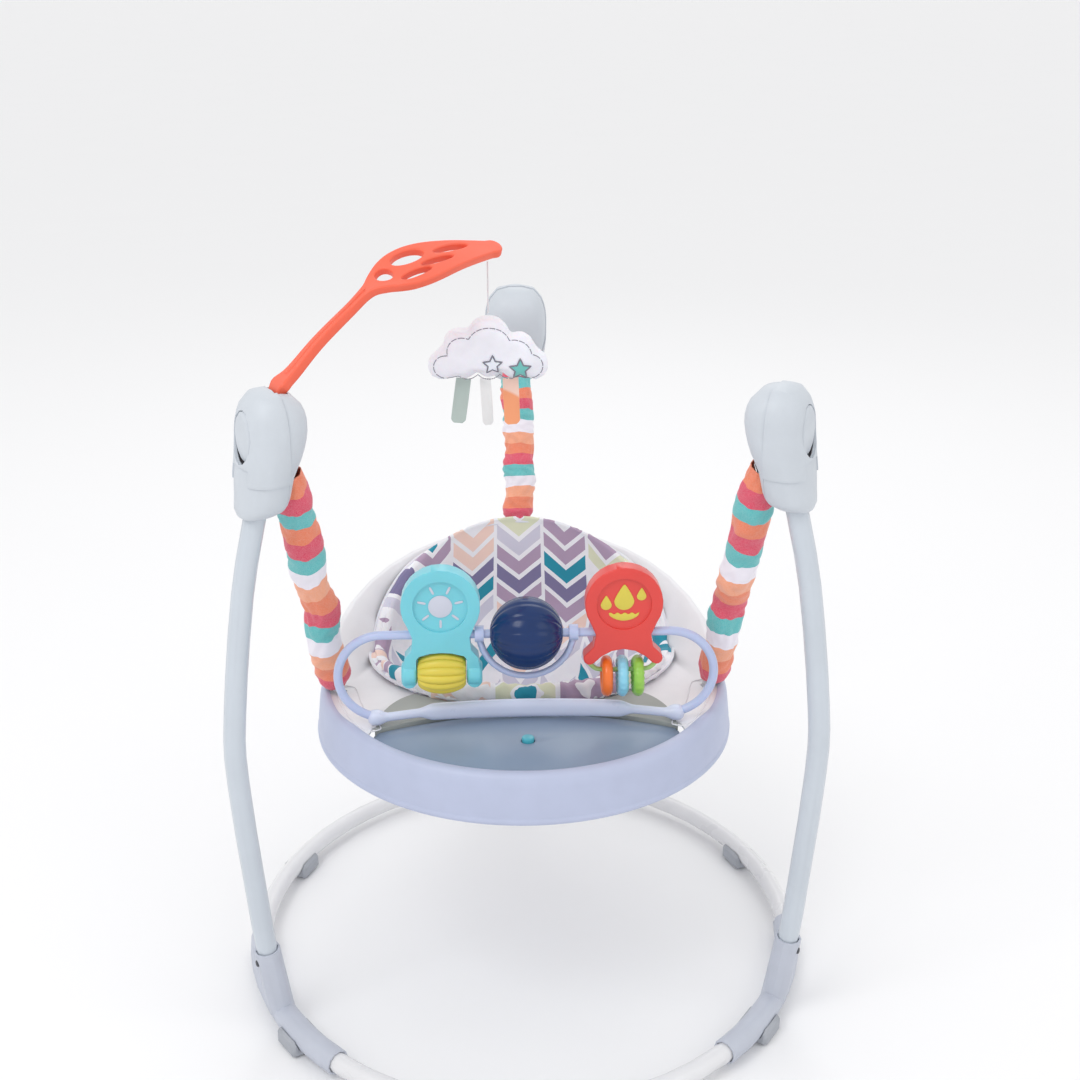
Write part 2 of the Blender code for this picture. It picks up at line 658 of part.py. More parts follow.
# ---------------------------------------------------------------- toy bar
def make_front_bar():
    """A curved grab bar whose tapered rods end in the collars that hold the toy rail."""
    half_grip = 0.128
    rings = []
    for index in range(13):
        x = half_grip * (index / 6 - 1)
        end = abs(x) / half_grip
        half_height = 0.0108 * math.sqrt(max(0.0, 1 - end ** 6)) + 0.0016
        middle = Vector((x, -0.108 - 0.006 * end ** 2, 0.4058 - 0.001 * end ** 2))
        rings.append([middle + Vector((0, y, z)) for y, z in superellipse(0.0065, half_height, 12)])
    bar = loft("front_bar", rings, PALE_LILAC)
    flip_if_inside_out(bar)
    for side, sign in (("left", -1), ("right", 1)):
        start = Vector((sign * 0.122, -0.1135, COLLAR_Z))
        end = Vector((sign * RAIL_HALF_SPAN, TOY_Y, COLLAR_Z))
        rod = cylinder(f"bar_rod_{side}", (start + end) / 2, end - start, 0.0060, (end - start).length,
                       None, 12, CUTTERS, 0.0045)
        boolean(bar, rod, "UNION")
        collar = cylinder(f"bar_collar_{side}", (sign * RAIL_HALF_SPAN, TOY_Y, COLLAR_Z), (1, 0, 0), 0.0105,
                          0.022, None, 16, CUTTERS)
        boolean(bar, collar, "UNION")


def rail_points():
    """From the left collar out, up and across to the right collar."""
    loop_r = (RAIL_Z - COLLAR_Z) / 2
    middle_z = (RAIL_Z + COLLAR_Z) / 2
    first = 0.245
    right = []
    for index in range(11):
        angle = -math.pi / 2 + first + (math.pi - first) * index / 10
        right.append(Vector((RAIL_HALF_SPAN + loop_r * math.cos(angle), TOY_Y,
                             middle_z + loop_r * math.sin(angle))))
    left = [Vector((-point.x, point.y, point.z)) for point in right]
    return left + list(reversed(right))


def make_ball():
    bore = RAIL_R + GAP
    tip = math.sqrt(BALL_R ** 2 - bore ** 2)
    ribs = 10
    profile = []
    for index in range(ribs + 1):
        angle = math.acos(tip / BALL_R) + (math.pi - 2 * math.acos(tip / BALL_R)) * index / ribs
        profile.append((BALL_R * math.sin(angle), BALL_R * math.cos(angle)))
    turned("spin_ball", profile, (0.0, TOY_Y, RAIL_Z), (1, 0, 0), NAVY, 22, closed=True)


def make_yoke():
    """A half loop under the ball, with a ring at each end that the rail passes through."""
    reach = 0.0570
    points = [Vector((reach * math.cos(a), TOY_Y, RAIL_Z + reach * math.sin(a)))
              for a in (math.pi + math.pi * index / 16 for index in range(17))]
    yoke = as_mesh(tube("ball_yoke", points, 0.0042, LILAC, 2))
    for side, sign in (("left", -1), ("right", 1)):
        boolean(yoke, cylinder(f"yoke_ring_{side}", (sign * reach, TOY_Y, RAIL_Z), (1, 0, 0), 0.0100, 0.011,
                               None, 16, CUTTERS), "UNION")
    boolean(yoke, cylinder("yoke_bore", (0, TOY_Y, RAIL_Z), (1, 0, 0), RAIL_R + GAP, 0.2, None, 12, CUTTERS))


def mirrored(half):
    """A full outline from its right half, which runs from the top middle to the bottom middle."""
    return half + [(-x, y) for x, y in reversed(half) if x > 1e-6]


def arc(centre, radius, first, last, count):
    return [(centre[0] + radius * math.cos(math.radians(first + (last - first) * i / count)),
             centre[1] + radius * math.sin(math.radians(first + (last - first) * i / count)))
            for i in range(count + 1)]


def make_paddle(name, outline, x, material):
    """A flat paddle in the toy plane with a round recess in front and a bore for the rail."""
    plate = flat_outline(name, [[(px, pz - RAIL_Z) for px, pz in outline]], PADDLE_HALF_THICKNESS, material)
    plate.location = (x, TOY_Y, RAIL_Z)
    plate.rotation_euler = (math.pi / 2, 0, 0)
    plate = as_mesh(plate)
    round_edges(plate, 0.003, 1)
    front = TOY_Y - PADDLE_HALF_THICKNESS
    boolean(plate, cylinder(f"{name}_recess", (x, front, PADDLE_DISC_Z), (0, 1, 0), 0.033, 0.007, None, 28,
                            CUTTERS))
    boolean(plate, cylinder(f"{name}_bore", (x, TOY_Y, RAIL_Z), (1, 0, 0), RAIL_R + GAP, 0.12, None, 12,
                            CUTTERS))
    return plate


def make_sun_paddle():
    half = (arc((0, PADDLE_DISC_Z), 0.0475, 90, -32, 10)
            + [(0.0345, 0.513), (0.0360, 0.496), (0.0445, 0.486)]
            + arc((0.0395, 0.455), 0.0090, 0, -180, 6)
            + [(0.0305, 0.4840), (0.0270, 0.4885), (0.014, 0.4920), (0.0, 0.4930)])
    paddle = make_paddle("sun_paddle", mirrored(half), SUN_PADDLE_X, TEAL)
    boolean(paddle, cylinder("roller_bores", (SUN_PADDLE_X, TOY_Y, ROLLER_Z), (1, 0, 0), 0.0034, 0.076,
                             None, 12, CUTTERS))
    half_length = 0.0297
    side = [(0.0, half_length + 0.004), (0.0029, half_length + 0.004), (0.0029, half_length)]
    side += [(ROLLER_R - 0.0055 * (k / 4 - 1) ** 2, half_length * (1 - k / 4)) for k in range(4)]
    profile = side + [(ROLLER_R, 0.0)] + [(r, -z) for r, z in reversed(side)]
    turned("roller", profile, (SUN_PADDLE_X, TOY_Y, ROLLER_Z), (1, 0, 0), YELLOW, 18)


def make_rain_paddle():
    half = (arc((0, PADDLE_DISC_Z), 0.0470, 90, -32, 10)
            + [(0.0335, 0.513), (0.0360, 0.497)]
            + arc((0.0405, 0.4815), 0.0078, 30, -130, 5)
            + [(0.0270, 0.4840), (0.014, 0.4915), (0.0, 0.494)])
    make_paddle("rain_paddle", mirrored(half), RAIN_PADDLE_X, RED)
    wire = smooth_path([(RAIN_PADDLE_X + x, TOY_Y, z) for x, z in
                        ((-0.0405, 0.4715), (-0.0350, 0.4658), (-0.0270, 0.4628), (0.0, BEAD_WIRE_Z),
                         (0.0270, 0.4628), (0.0350, 0.4658), (0.0405, 0.4715))], 2)
    tube("bead_wire", wire, 0.0030, GREEN, 2)
    for index, (name, material) in enumerate((("orange", ORANGE), ("sky", SKY), ("green", GREEN))):
        place = Vector((RAIN_PADDLE_X + (index - 1) * BEAD_SPACING, TOY_Y, BEAD_WIRE_Z - 0.0088))
        profile = [(0.0185 + 0.006 * math.cos(a), 0.006 * math.sin(a))
                   for a in (math.pi / 2 - 2 * math.pi * k / 8 for k in range(8))]
        turned(f"bead_{name}", profile, place, (1, 0, 0), material, 16, closed=True)


# ---------------------------------------------------------------- toy arm and cloud
ARM_PATH = ((0.0, 0.806), (0.0, 0.822), (0.0045, 0.836), (0.0225, 0.850), (0.054, 0.879), (0.093, 0.909),
            (0.126, 0.933), (0.170, 0.9485), (0.225, 0.9575), (0.292, 0.959))
ARM_WIDTHS = ((0.0, 0.0125), (0.026, 0.0125), (0.034, 0.0150), (0.048, 0.0110), (0.080, 0.0088),
              (0.140, 0.0078), (0.175, 0.0100), (0.190, 0.0185), (0.208, 0.0270), (0.235, 0.0325),
              (0.260, 0.0315), (0.290, 0.0250), (0.320, 0.0175), (0.340, 0.0125))
# centre along and across the arm, half length and half width of each opening in the leaf
LEAF_OPENINGS = ((0.2035, 0.0030, 0.0095, 0.0115), (0.2400, 0.0135, 0.0205, 0.0105),
                 (0.2930, 0.0080, 0.0220, 0.0052), (0.2680, -0.0065, 0.0210, 0.0045),
                 (0.2350, -0.0155, 0.0200, 0.0052))
LEAF_START = 0.165
ARM_HALF_THICKNESS = 0.0050


def arm_width(along):
    """The arm's half width at a distance along it, on a smooth curve through ARM_WIDTHS."""
    line = smooth_path([(distance, width, 0.0) for distance, width in ARM_WIDTHS], 8)
    for low, high in zip(line, line[1:]):
        if along <= high.x:
            return low.lerp(high, (along - low.x) / (high.x - low.x)).y
    return line[-1].y


def arm_place(path, along, across, out):
    """The point at a distance along the arm, across it, and out from its upper face."""
    frame = FRAMES["left"]
    travelled = 0.0
    for start, end in zip(path, path[1:]):
        span = (end - start).length
        if travelled + span >= along or end is path[-1]:
            t = (along - travelled) / span
            forward = (end - start).normalized()
            middle = start + forward * span * t
            break
        travelled += span
    roll = math.radians(24.0) * ease((along - LEAF_START) / 0.06)
    side = frame.along * -1.0
    up = forward.cross(side)
    turned_side = side * math.cos(roll) + up * math.sin(roll)
    turned_up = up * math.cos(roll) - side * math.sin(roll)
    return middle + turned_side * across + turned_up * out


def make_arm():
    frame = FRAMES["left"]
    path = smooth_path([frame.at(ARM_START_SHIFT - inward, z) for inward, z in ARM_PATH], 4)
    length = sum((end - start).length for start, end in zip(path, path[1:]))
    stations = [length * index / 30 for index in range(29)]
    edge = [(s, arm_width(s)) for s in stations]
    tip = [(length - 0.006, 0.0085), (length - 0.0015, 0.005), (length, 0.0)]
    outline = edge + tip + [(s, -w) for s, w in reversed(edge + tip[:-1])]
    holes = []
    for centre_s, centre_w, half_s, half_w in LEAF_OPENINGS:
        holes.append([(centre_s + half_s * math.cos(math.radians(a)),
                       centre_w + half_w * math.sin(math.radians(a))) for a in range(0, 360, 36)])
    arm = as_mesh(flat_outline("toy_arm", [outline] + holes, ARM_HALF_THICKNESS, CORAL))
    bm = bmesh.new()
    bm.from_mesh(arm.data)
    cuts = 12
    for index in range(1, cuts):
        bmesh.ops.bisect_plane(bm, geom=bm.verts[:] + bm.edges[:] + bm.faces[:], dist=1e-7,
                               plane_co=(length * index / cuts, 0, 0), plane_no=(1, 0, 0))
    for vertex in bm.verts:
        vertex.co = arm_place(path, vertex.co.x, vertex.co.y, vertex.co.z)
    bmesh.ops.triangulate(bm, faces=bm.faces)
    bmesh.ops.recalc_face_normals(bm, faces=bm.faces)
    bm.to_mesh(arm.data)
    bm.free()


CLOUD_LOBES = ((-0.058, -0.0205, 0.0185), (-0.036, 0.004, 0.0215), (0.0, 0.0095, 0.0310),
               (0.034, -0.004, 0.0255), (0.0555, -0.0205, 0.0195), (0.0, -0.022, 0.0190),
               (-0.030, -0.022, 0.0185), (0.030, -0.022, 0.0185))


def cloud_outline(count=44):
    """The edge of the joined lobes, seen from the cloud's middle."""
    points = []
    middle = Vector((0.0, -0.012))
    for index in range(count):
        angle = 2 * math.pi * index / count
        ray = Vector((math.cos(angle), math.sin(angle)))
        reach = 0.0
        for x, z, radius in CLOUD_LOBES:
            offset = Vector((x, z)) - middle
            along = offset.dot(ray)
            inside = radius ** 2 - offset.length_squared + along ** 2
            if inside > 0:
                reach = max(reach, along + math.sqrt(inside))
        points.append(middle + ray * reach)
    return points


def make_cloud():
    cloud = flat_outline("cloud", [cloud_outline()], CLOUD_HALF_THICKNESS - 0.003, CLOTH)
    cloud.location = CLOUD_CENTRE
    cloud.rotation_euler = (math.pi / 2, 0, 0)
    round_edges(as_mesh(cloud, 60.0), 0.0025, 1, 60)
    string_top = CLOUD_CENTRE + Vector((0, 0, 0.1020))
    string_foot = CLOUD_CENTRE + Vector((0, 0, 0.0412))
    tube("cloud_string", [string_top.lerp(string_foot, k / 5) for k in range(6)], STRING_R, WEBBING, 2)
    ribbons = (("grey", -0.031, 0.018, -8.0, 0.050), ("white", -0.004, 0.013, 3.0, 0.053),
               ("peach", 0.026, 0.019, 2.0, 0.052))
    for name, x, width, tilt, length in ribbons:
        turn = Matrix.Rotation(math.radians(-tilt), 4, "Y")
        top = CLOUD_CENTRE + Vector((x, 0, -0.0440))
        box(f"ribbon_{name}", top - turn @ Vector((0, 0, length / 2)), (width, 0.0014, length), CLOTH,
            turn=turn)


# ---------------------------------------------------------------- whole object
def main():
    make_hoop()
    make_feet()
    make_posts()
    for side in LEGS:
        make_spring(side)
        make_strap(side)
        make_sleeve(side)
    make_deck()
    make_skirt()
    make_console()
    make_seat_hoop()
    make_sling()
    make_front_bar()
    tube("toy_rail", rail_points(), RAIL_R, LILAC, 3)
    make_ball()
    make_yoke()
    make_sun_paddle()
    make_rain_paddle()
    make_arm()
    make_cloud()
    for thing in list(PARTS.objects) + list(CUTTERS.objects):
        thing.location.y += CENTRE_SHIFT


main()
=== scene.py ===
"""Looks of the activity jumper: finishes, cloth, plush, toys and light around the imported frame."""
import json
import math

import bpy
from mathutils import Matrix, Vector, noise

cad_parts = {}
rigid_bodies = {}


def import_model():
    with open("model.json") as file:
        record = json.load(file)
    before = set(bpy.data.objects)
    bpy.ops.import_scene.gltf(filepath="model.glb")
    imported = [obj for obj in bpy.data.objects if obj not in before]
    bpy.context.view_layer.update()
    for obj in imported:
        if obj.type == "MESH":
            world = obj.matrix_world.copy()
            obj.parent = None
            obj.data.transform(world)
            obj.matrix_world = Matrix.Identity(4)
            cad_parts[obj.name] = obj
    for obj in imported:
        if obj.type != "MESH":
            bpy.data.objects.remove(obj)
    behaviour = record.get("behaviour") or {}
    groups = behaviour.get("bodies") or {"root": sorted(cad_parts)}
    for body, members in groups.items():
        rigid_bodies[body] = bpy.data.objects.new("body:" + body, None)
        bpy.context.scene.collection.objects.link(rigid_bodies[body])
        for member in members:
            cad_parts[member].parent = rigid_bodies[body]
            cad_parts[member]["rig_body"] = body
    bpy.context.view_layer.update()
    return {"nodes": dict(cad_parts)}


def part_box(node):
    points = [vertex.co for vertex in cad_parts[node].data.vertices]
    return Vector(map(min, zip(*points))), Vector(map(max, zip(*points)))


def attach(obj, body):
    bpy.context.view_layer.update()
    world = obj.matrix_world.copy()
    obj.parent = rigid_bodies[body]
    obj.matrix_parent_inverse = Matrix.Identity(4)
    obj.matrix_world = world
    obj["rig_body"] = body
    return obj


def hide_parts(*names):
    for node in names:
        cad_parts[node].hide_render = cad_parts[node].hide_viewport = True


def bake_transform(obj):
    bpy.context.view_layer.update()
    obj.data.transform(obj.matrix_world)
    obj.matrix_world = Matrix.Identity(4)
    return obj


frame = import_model()

# ---------------------------------------------------------------- driving dimensions, in metres
CENTRE = Vector((0.0, -0.01815, 0.0))       # middle of the floor hoop
HOOP_HALF_WIDTH = 0.360
HOOP_HALF_DEPTH = 0.385
LEG_ANGLES = {"left": 209.0, "right": 331.0, "rear": 90.0}
STRAP_TOP_SHIFT = -0.050
STRAP_TOP_Z = 0.745
STRAP_FEET = {"left": (-0.243, -0.022, 0.398), "right": (0.243, -0.022, 0.398),
              "rear": (0.0, 0.2435, 0.508)}
SLEEVE_R = 0.0228
TOY_Y = -0.120 + CENTRE.y                   # plane of the toy rail
RAIL_Z = 0.513
RAIL_R = 0.0055
RAIL_HALF_SPAN = 0.174
COLLAR_Z = 0.402
BALL_R = 0.0445
DISC_Z = 0.553
SUN_X = -0.103
RAIN_X = 0.117
ROLLER_Z = 0.463
BEAD_Z = 0.4537
RECESS_FLOOR_Y = TOY_Y - 0.0075
CLOUD = Vector((-0.041, -0.022, 0.8425)) + CENTRE
CLOUD_HALF_THICKNESS = 0.015
CLOUD_LOBES = ((-0.058, -0.0205, 0.0185), (-0.036, 0.004, 0.0215), (0.0, 0.0095, 0.0310),
               (0.034, -0.004, 0.0255), (0.0555, -0.0205, 0.0195), (0.0, -0.022, 0.0190),
               (-0.030, -0.022, 0.0185), (0.030, -0.022, 0.0185))
STRING_R = 0.0009


# ---------------------------------------------------------------- editing helpers
def deselect():
    if bpy.context.object and bpy.context.object.mode != "OBJECT":
        bpy.ops.object.mode_set(mode="OBJECT")
    bpy.ops.object.select_all(action="DESELECT")


def pick(piece):
    deselect()
    piece.select_set(True)
    bpy.context.view_layer.objects.active = piece
    return piece


def named(name):
    piece = bpy.context.object
    piece.name = name
    piece.data.name = name
    return piece


def add_object(name, data):
    piece = bpy.data.objects.new(name, data)
    bpy.context.scene.collection.objects.link(piece)
    return piece


def modify(piece, kind, **settings):
    """Add a modifier and apply it."""
    pick(piece)
    modifier = piece.modifiers.new(kind.lower(), kind)
    for key, value in settings.items():
        setattr(modifier, key, value)
    bpy.ops.object.modifier_apply(modifier=modifier.name)
    return piece


def settle(piece):
    """Leave the object at the origin, unturned, with its place in its mesh."""
    pick(piece)
    bpy.ops.object.transform_apply(location=True, rotation=True, scale=True)
    return piece


def select_parts(piece, test, kind="FACE"):
    """Enter edit mode with the faces, edges or vertices that pass the test selected."""
    pick(piece)
    bpy.ops.object.mode_set(mode="EDIT")
    bpy.ops.mesh.select_mode(type=kind)
    bpy.ops.mesh.select_all(action="DESELECT")
    bpy.ops.object.mode_set(mode="OBJECT")
    mesh = piece.data
    parts = {"FACE": mesh.polygons, "EDGE": mesh.edges, "VERT": mesh.vertices}[kind]
    for part in parts:
        part.select = test(part)
    bpy.ops.object.mode_set(mode="EDIT")


def done():
    bpy.ops.object.mode_set(mode="OBJECT")


def face_outwards(piece):
    select_parts(piece, lambda face: True)
    bpy.ops.mesh.normals_make_consistent(inside=False)
    done()


def cut_plane(piece, place, normal, **settings):
    """Cut every face of a piece along a plane."""
    pick(piece)
    bpy.ops.object.mode_set(mode="EDIT")
    bpy.ops.mesh.select_all(action="SELECT")
    bpy.ops.mesh.bisect(plane_co=place, plane_no=normal, **settings)
    done()


def round_edges(piece, width, segments, degrees):
    """Bevel the edges that bend by more than an angle."""
    modify(piece, "BEVEL", width=width, segments=segments, limit_method="ANGLE",
           angle_limit=math.radians(degrees))


def rowed_cylinder(name, sides, rows, depth=1.0, ends="NOTHING"):
    """A cylinder of radius 1 about Z, with its long edges cut into rows."""
    deselect()
    bpy.ops.mesh.primitive_cylinder_add(vertices=sides, radius=1.0, depth=depth, end_fill_type=ends)
    piece = named(name)
    select_parts(piece, lambda edge: abs(piece.data.vertices[edge.vertices[0]].co.z
                                         - piece.data.vertices[edge.vertices[1]].co.z) > depth / 2, "EDGE")
    bpy.ops.mesh.subdivide(number_cuts=rows - 1)
    done()
    return piece


def smooth(piece, degrees=40.0):
    pick(piece)
    bpy.ops.object.shade_smooth_by_angle(angle=math.radians(degrees))
    return piece


def put(piece, material, body):
    """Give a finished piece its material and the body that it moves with."""
    piece.data.materials.clear()
    piece.data.materials.append(material)
    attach(piece, body)
    return piece


def draw_line(curve, points, closed):
    """Add a straight-sided line through points to a curve."""
    spline = curve.splines.new("POLY")
    spline.points.add(len(points) - 1)
    spline.use_cyclic_u = closed
    for point, place in zip(spline.points, points):
        point.co = (*place, 1.0)


def tube(name, points, radius, closed=False, sides=4, solid=True):
    """A round tube along points, as a mesh or, unless solid, left as a curve."""
    curve = bpy.data.curves.new(name, "CURVE")
    curve.dimensions = "3D"
    curve.bevel_depth = radius
    curve.bevel_resolution = sides
    curve.use_fill_caps = not closed
    draw_line(curve, points, closed)
    piece = add_object(name, curve)
    if solid:
        pick(piece)
        bpy.ops.object.convert(target="MESH")
        piece = named(name)
        weld(piece, 0.00001)
        smooth(piece, 50.0)
    return piece


def weld(piece, distance=0.00001, outward=True):
    select_parts(piece, lambda part: True, "VERT")
    bpy.ops.mesh.remove_doubles(threshold=distance)
    if outward:
        bpy.ops.mesh.normals_make_consistent(inside=False)
    done()


def node_copy(node, name):
    """A merged copy of a CAD node that stands for it."""
    piece = add_object(name, frame["nodes"][node].data.copy())
    weld(piece, outward=False)
    select_parts(piece, lambda part: True)
    bpy.ops.mesh.dissolve_limited(angle_limit=math.radians(0.5))
    done()
    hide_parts(node)
    return piece


def fine_node(node, material, bevel=0.0, degrees=38.0, segments=3):
    """A CAD node's shape with soft edges and smooth shading."""
    piece = node_copy(node, f"{node}_surface")
    if bevel:
        round_edges(piece, bevel, segments, degrees)
    smooth(piece, degrees)
    return put(piece, material, frame["nodes"][node]["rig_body"])


def ease(value):
    value = min(1.0, max(0.0, value))
    return value * value * (3 - 2 * value)


def wander(x, y, z):
    """Smooth noise from -1 to 1, the same in each run."""
    return noise.noise(Vector((x, y, z)), noise_basis="PERLIN_ORIGINAL")


def squared_off(value, power):
    """A sine or cosine drawn towards 1 or -1, which squares off the oval that it draws."""
    return math.copysign(abs(value) ** power, value)


def spline_between(before, start, end, after, t):
    """The place at t from start to end on a smooth curve through four values or vectors."""
    return 0.5 * (2 * start + (end - before) * t
                  + (2 * before - 5 * start + 4 * end - after) * t ** 2
                  + (3 * start - before - 3 * end + after) * t ** 3)


def leg_foot(side):
    """Where a leg stands on the floor hoop, from the hoop's middle."""
    angle = math.radians(LEG_ANGLES[side])
    return Vector((HOOP_HALF_WIDTH * math.cos(angle), HOOP_HALF_DEPTH * math.sin(angle), 0.0))


def back_rise(angle):
    """0 at the front and sides, 1 at the middle of the back."""
    sine = math.sin(angle)
    return max(0.0, sine) ** 0.75 * ease((sine + 0.02) / 0.25) if sine > -0.02 else 0.0


# ---------------------------------------------------------------- materials
def shader_of(name, colour, roughness, metallic=0.0, coat=0.0, sheen=0.0, subsurface=0.0):
    material = bpy.data.materials.new(name)
    material.use_nodes = True
    shader = material.node_tree.nodes["Principled BSDF"]
    shader.inputs["Base Color"].default_value = (*colour, 1.0)
    shader.inputs["Roughness"].default_value = roughness
    shader.inputs["Metallic"].default_value = metallic
    shader.inputs["Coat Weight"].default_value = coat
    shader.inputs["Coat Roughness"].default_value = 0.15
    shader.inputs["Sheen Weight"].default_value = sheen
    shader.inputs["Sheen Roughness"].default_value = 0.5
    shader.inputs["Subsurface Weight"].default_value = subsurface
    shader.inputs["Subsurface Scale"].default_value = 0.01
    return material, shader


class Graph:
    """Short calls for a material's nodes and links."""

    def __init__(self, material):
        self.nodes = material.node_tree.nodes
        self.links = material.node_tree.links

    def node(self, kind, **settings):
        made = self.nodes.new(kind)
        for key, value in settings.items():
            setattr(made, key, value)
        return made

    def feed(self, socket, value):
        if isinstance(value, bpy.types.NodeSocket):
            self.links.new(value, socket)
        else:
            socket.default_value = value

    def math(self, operation, first, second=0.0):
        made = self.node("ShaderNodeMath", operation=operation)
        self.feed(made.inputs[0], first)
        self.feed(made.inputs[1], second)
        return made.outputs[0]

    def place(self, kind="Object"):
        return self.node("ShaderNodeTexCoord").outputs[kind]

    def uv(self, name):
        return self.node("ShaderNodeUVMap", uv_map=name).outputs[0]

    def noise(self, vector, scale, detail=3.0, roughness=0.5):
        made = self.node("ShaderNodeTexNoise")
        self.feed(made.inputs["Vector"], vector)
        self.feed(made.inputs["Scale"], scale)
        self.feed(made.inputs["Detail"], detail)
        self.feed(made.inputs["Roughness"], roughness)
        return made.outputs["Fac"]

    def wave(self, vector, scale, direction, distortion=0.0):
        made = self.node("ShaderNodeTexWave", bands_direction=direction)
        self.feed(made.inputs["Vector"], vector)
        self.feed(made.inputs["Scale"], scale)
        self.feed(made.inputs["Distortion"], distortion)
        return made.outputs["Fac"]

    def span(self, value, low, high, to_low, to_high):
        made = self.node("ShaderNodeMapRange")
        for socket, number in zip(made.inputs, (value, low, high, to_low, to_high)):
            self.feed(socket, number)
        return made.outputs[0]

    def mix(self, amount, first, second, kind="MIX"):
        made = self.node("ShaderNodeMix", data_type="RGBA", blend_type=kind)
        self.feed(made.inputs["Factor"], amount)
        colours = [socket for socket in made.inputs if socket.type == "RGBA"]
        self.feed(colours[0], first)
        self.feed(colours[1], second)
        return [socket for socket in made.outputs if socket.type == "RGBA"][0]

    def ramp(self, value, stops, interpolation="CONSTANT"):
        made = self.node("ShaderNodeValToRGB")
        made.color_ramp.interpolation = interpolation
        elements = made.color_ramp.elements
        while len(elements) < len(stops):
            elements.new(1.0)
        for element, (place, colour) in zip(elements, stops):
            element.position = place
            element.color = (*colour, 1.0)
        self.feed(made.inputs[0], value)
        return made.outputs["Color"]

    def bump(self, height, strength, distance, below=None):
        made = self.node("ShaderNodeBump")
        self.feed(made.inputs["Height"], height)
        made.inputs["Strength"].default_value = strength
        made.inputs["Distance"].default_value = distance
        if below is not None:
            self.links.new(below, made.inputs["Normal"])
        return made.outputs["Normal"]


def dim(colour, factor):
    return tuple(channel * factor for channel in colour)


def moulded(name, colour, roughness=0.42, grain=1400.0, depth=0.00012, coat=0.0, subsurface=0.0, wash=0.96,
            specular=0.5):
    """Moulded plastic: a fine spark-eroded grain, faint flow marks and uneven gloss."""
    material, shader = shader_of(name, colour, roughness, coat=coat, subsurface=subsurface)
    shader.inputs["Specular IOR Level"].default_value = specular
    graph = Graph(material)
    place = graph.place()
    fine = graph.noise(place, grain, 2.0)
    flow = graph.noise(place, 26.0, 4.0)
    graph.feed(shader.inputs["Base Color"],
               graph.mix(graph.span(flow, 0.35, 0.65, 0.0, 1.0), (*dim(colour, wash), 1.0), (*colour, 1.0)))
    graph.feed(shader.inputs["Roughness"], graph.span(graph.noise(place, 60.0, 3.0), 0.3, 0.7,
                                                     roughness - 0.03, roughness + 0.04))
    graph.feed(shader.inputs["Normal"], graph.bump(fine, 0.25, depth))
    return material


def painted(name, colour, roughness=0.3):
    """Powder-coated steel tube: slight orange peel under a soft gloss."""
    material, shader = shader_of(name, colour, roughness, coat=0.25)
    graph = Graph(material)
    place = graph.place()
    peel = graph.noise(place, 420.0, 2.0)
    cloudy = graph.noise(place, 14.0, 3.0)
    graph.feed(shader.inputs["Base Color"],
               graph.mix(graph.span(cloudy, 0.35, 0.65, 0.0, 1.0),
                         (*dim(colour, 0.955), 1.0), (*colour, 1.0)))
    graph.feed(shader.inputs["Roughness"], graph.span(cloudy, 0.3, 0.7, roughness - 0.04, roughness + 0.06))
    graph.feed(shader.inputs["Normal"], graph.bump(peel, 0.2, 0.0002))
    return material


def steel(name):
    material, shader = shader_of(name, (0.55, 0.56, 0.58), 0.28, metallic=1.0)
    graph = Graph(material)
    scratches = graph.noise(graph.place(), 300.0, 4.0)
    graph.feed(shader.inputs["Roughness"], graph.span(scratches, 0.3, 0.7, 0.2, 0.42))
    graph.feed(shader.inputs["Normal"], graph.bump(scratches, 0.1, 0.0001))
    return material


def weave(graph, vector, threads, strength=0.35, depth=0.00025, below=None):
    """Bump of a plain weave from two crossed sets of threads."""
    warp = graph.wave(vector, threads, "X")
    weft = graph.wave(vector, threads, "Y")
    return graph.bump(graph.math("MULTIPLY", warp, weft), strength, depth, below)


STRIPES = {"orange": (0.83, 0.19, 0.075), "crimson": (0.70, 0.032, 0.095), "teal": (0.075, 0.48, 0.49),
           "white": (0.86, 0.82, 0.90), "peach": (0.90, 0.36, 0.20)}
STRIPE_ORDER = ("orange", "crimson", "teal", "orange", "crimson", "teal", "white", "peach", "orange",
                "crimson", "teal", "white", "peach", "orange", "crimson")


def striped_cloth():
    """Printed polyester: bands across the sleeve, light fibre flecks and a fine weave."""
    material, shader = shader_of("striped_cloth", STRIPES["orange"], 0.78, sheen=0.25)
    graph = Graph(material)
    uv = graph.uv("sleeve")
    split = graph.node("ShaderNodeSeparateXYZ")
    graph.feed(split.inputs[0], uv)
    ripple = graph.noise(graph.place(), 55.0, 2.0)
    along = graph.math("ADD", split.outputs[1], graph.span(ripple, 0.0, 1.0, -0.008, 0.008))
    count = len(STRIPE_ORDER)
    stops = [(index / count, STRIPES[colour]) for index, colour in enumerate(STRIPE_ORDER)]
    colour = graph.ramp(along, stops)
    fibre = graph.noise(graph.place(), 900.0, 2.0)
    colour = graph.mix(graph.span(fibre, 0.3, 0.7, 0.0, 0.16), colour, (0.95, 0.93, 0.92, 1.0))
    graph.feed(shader.inputs["Base Color"], colour)
    stretched = graph.node("ShaderNodeMapping")
    graph.feed(stretched.inputs["Vector"], uv)
    stretched.inputs["Scale"].default_value = (0.14, 0.45, 1.0)
    graph.feed(shader.inputs["Normal"], weave(graph, stretched.outputs[0], 260.0))
    return material


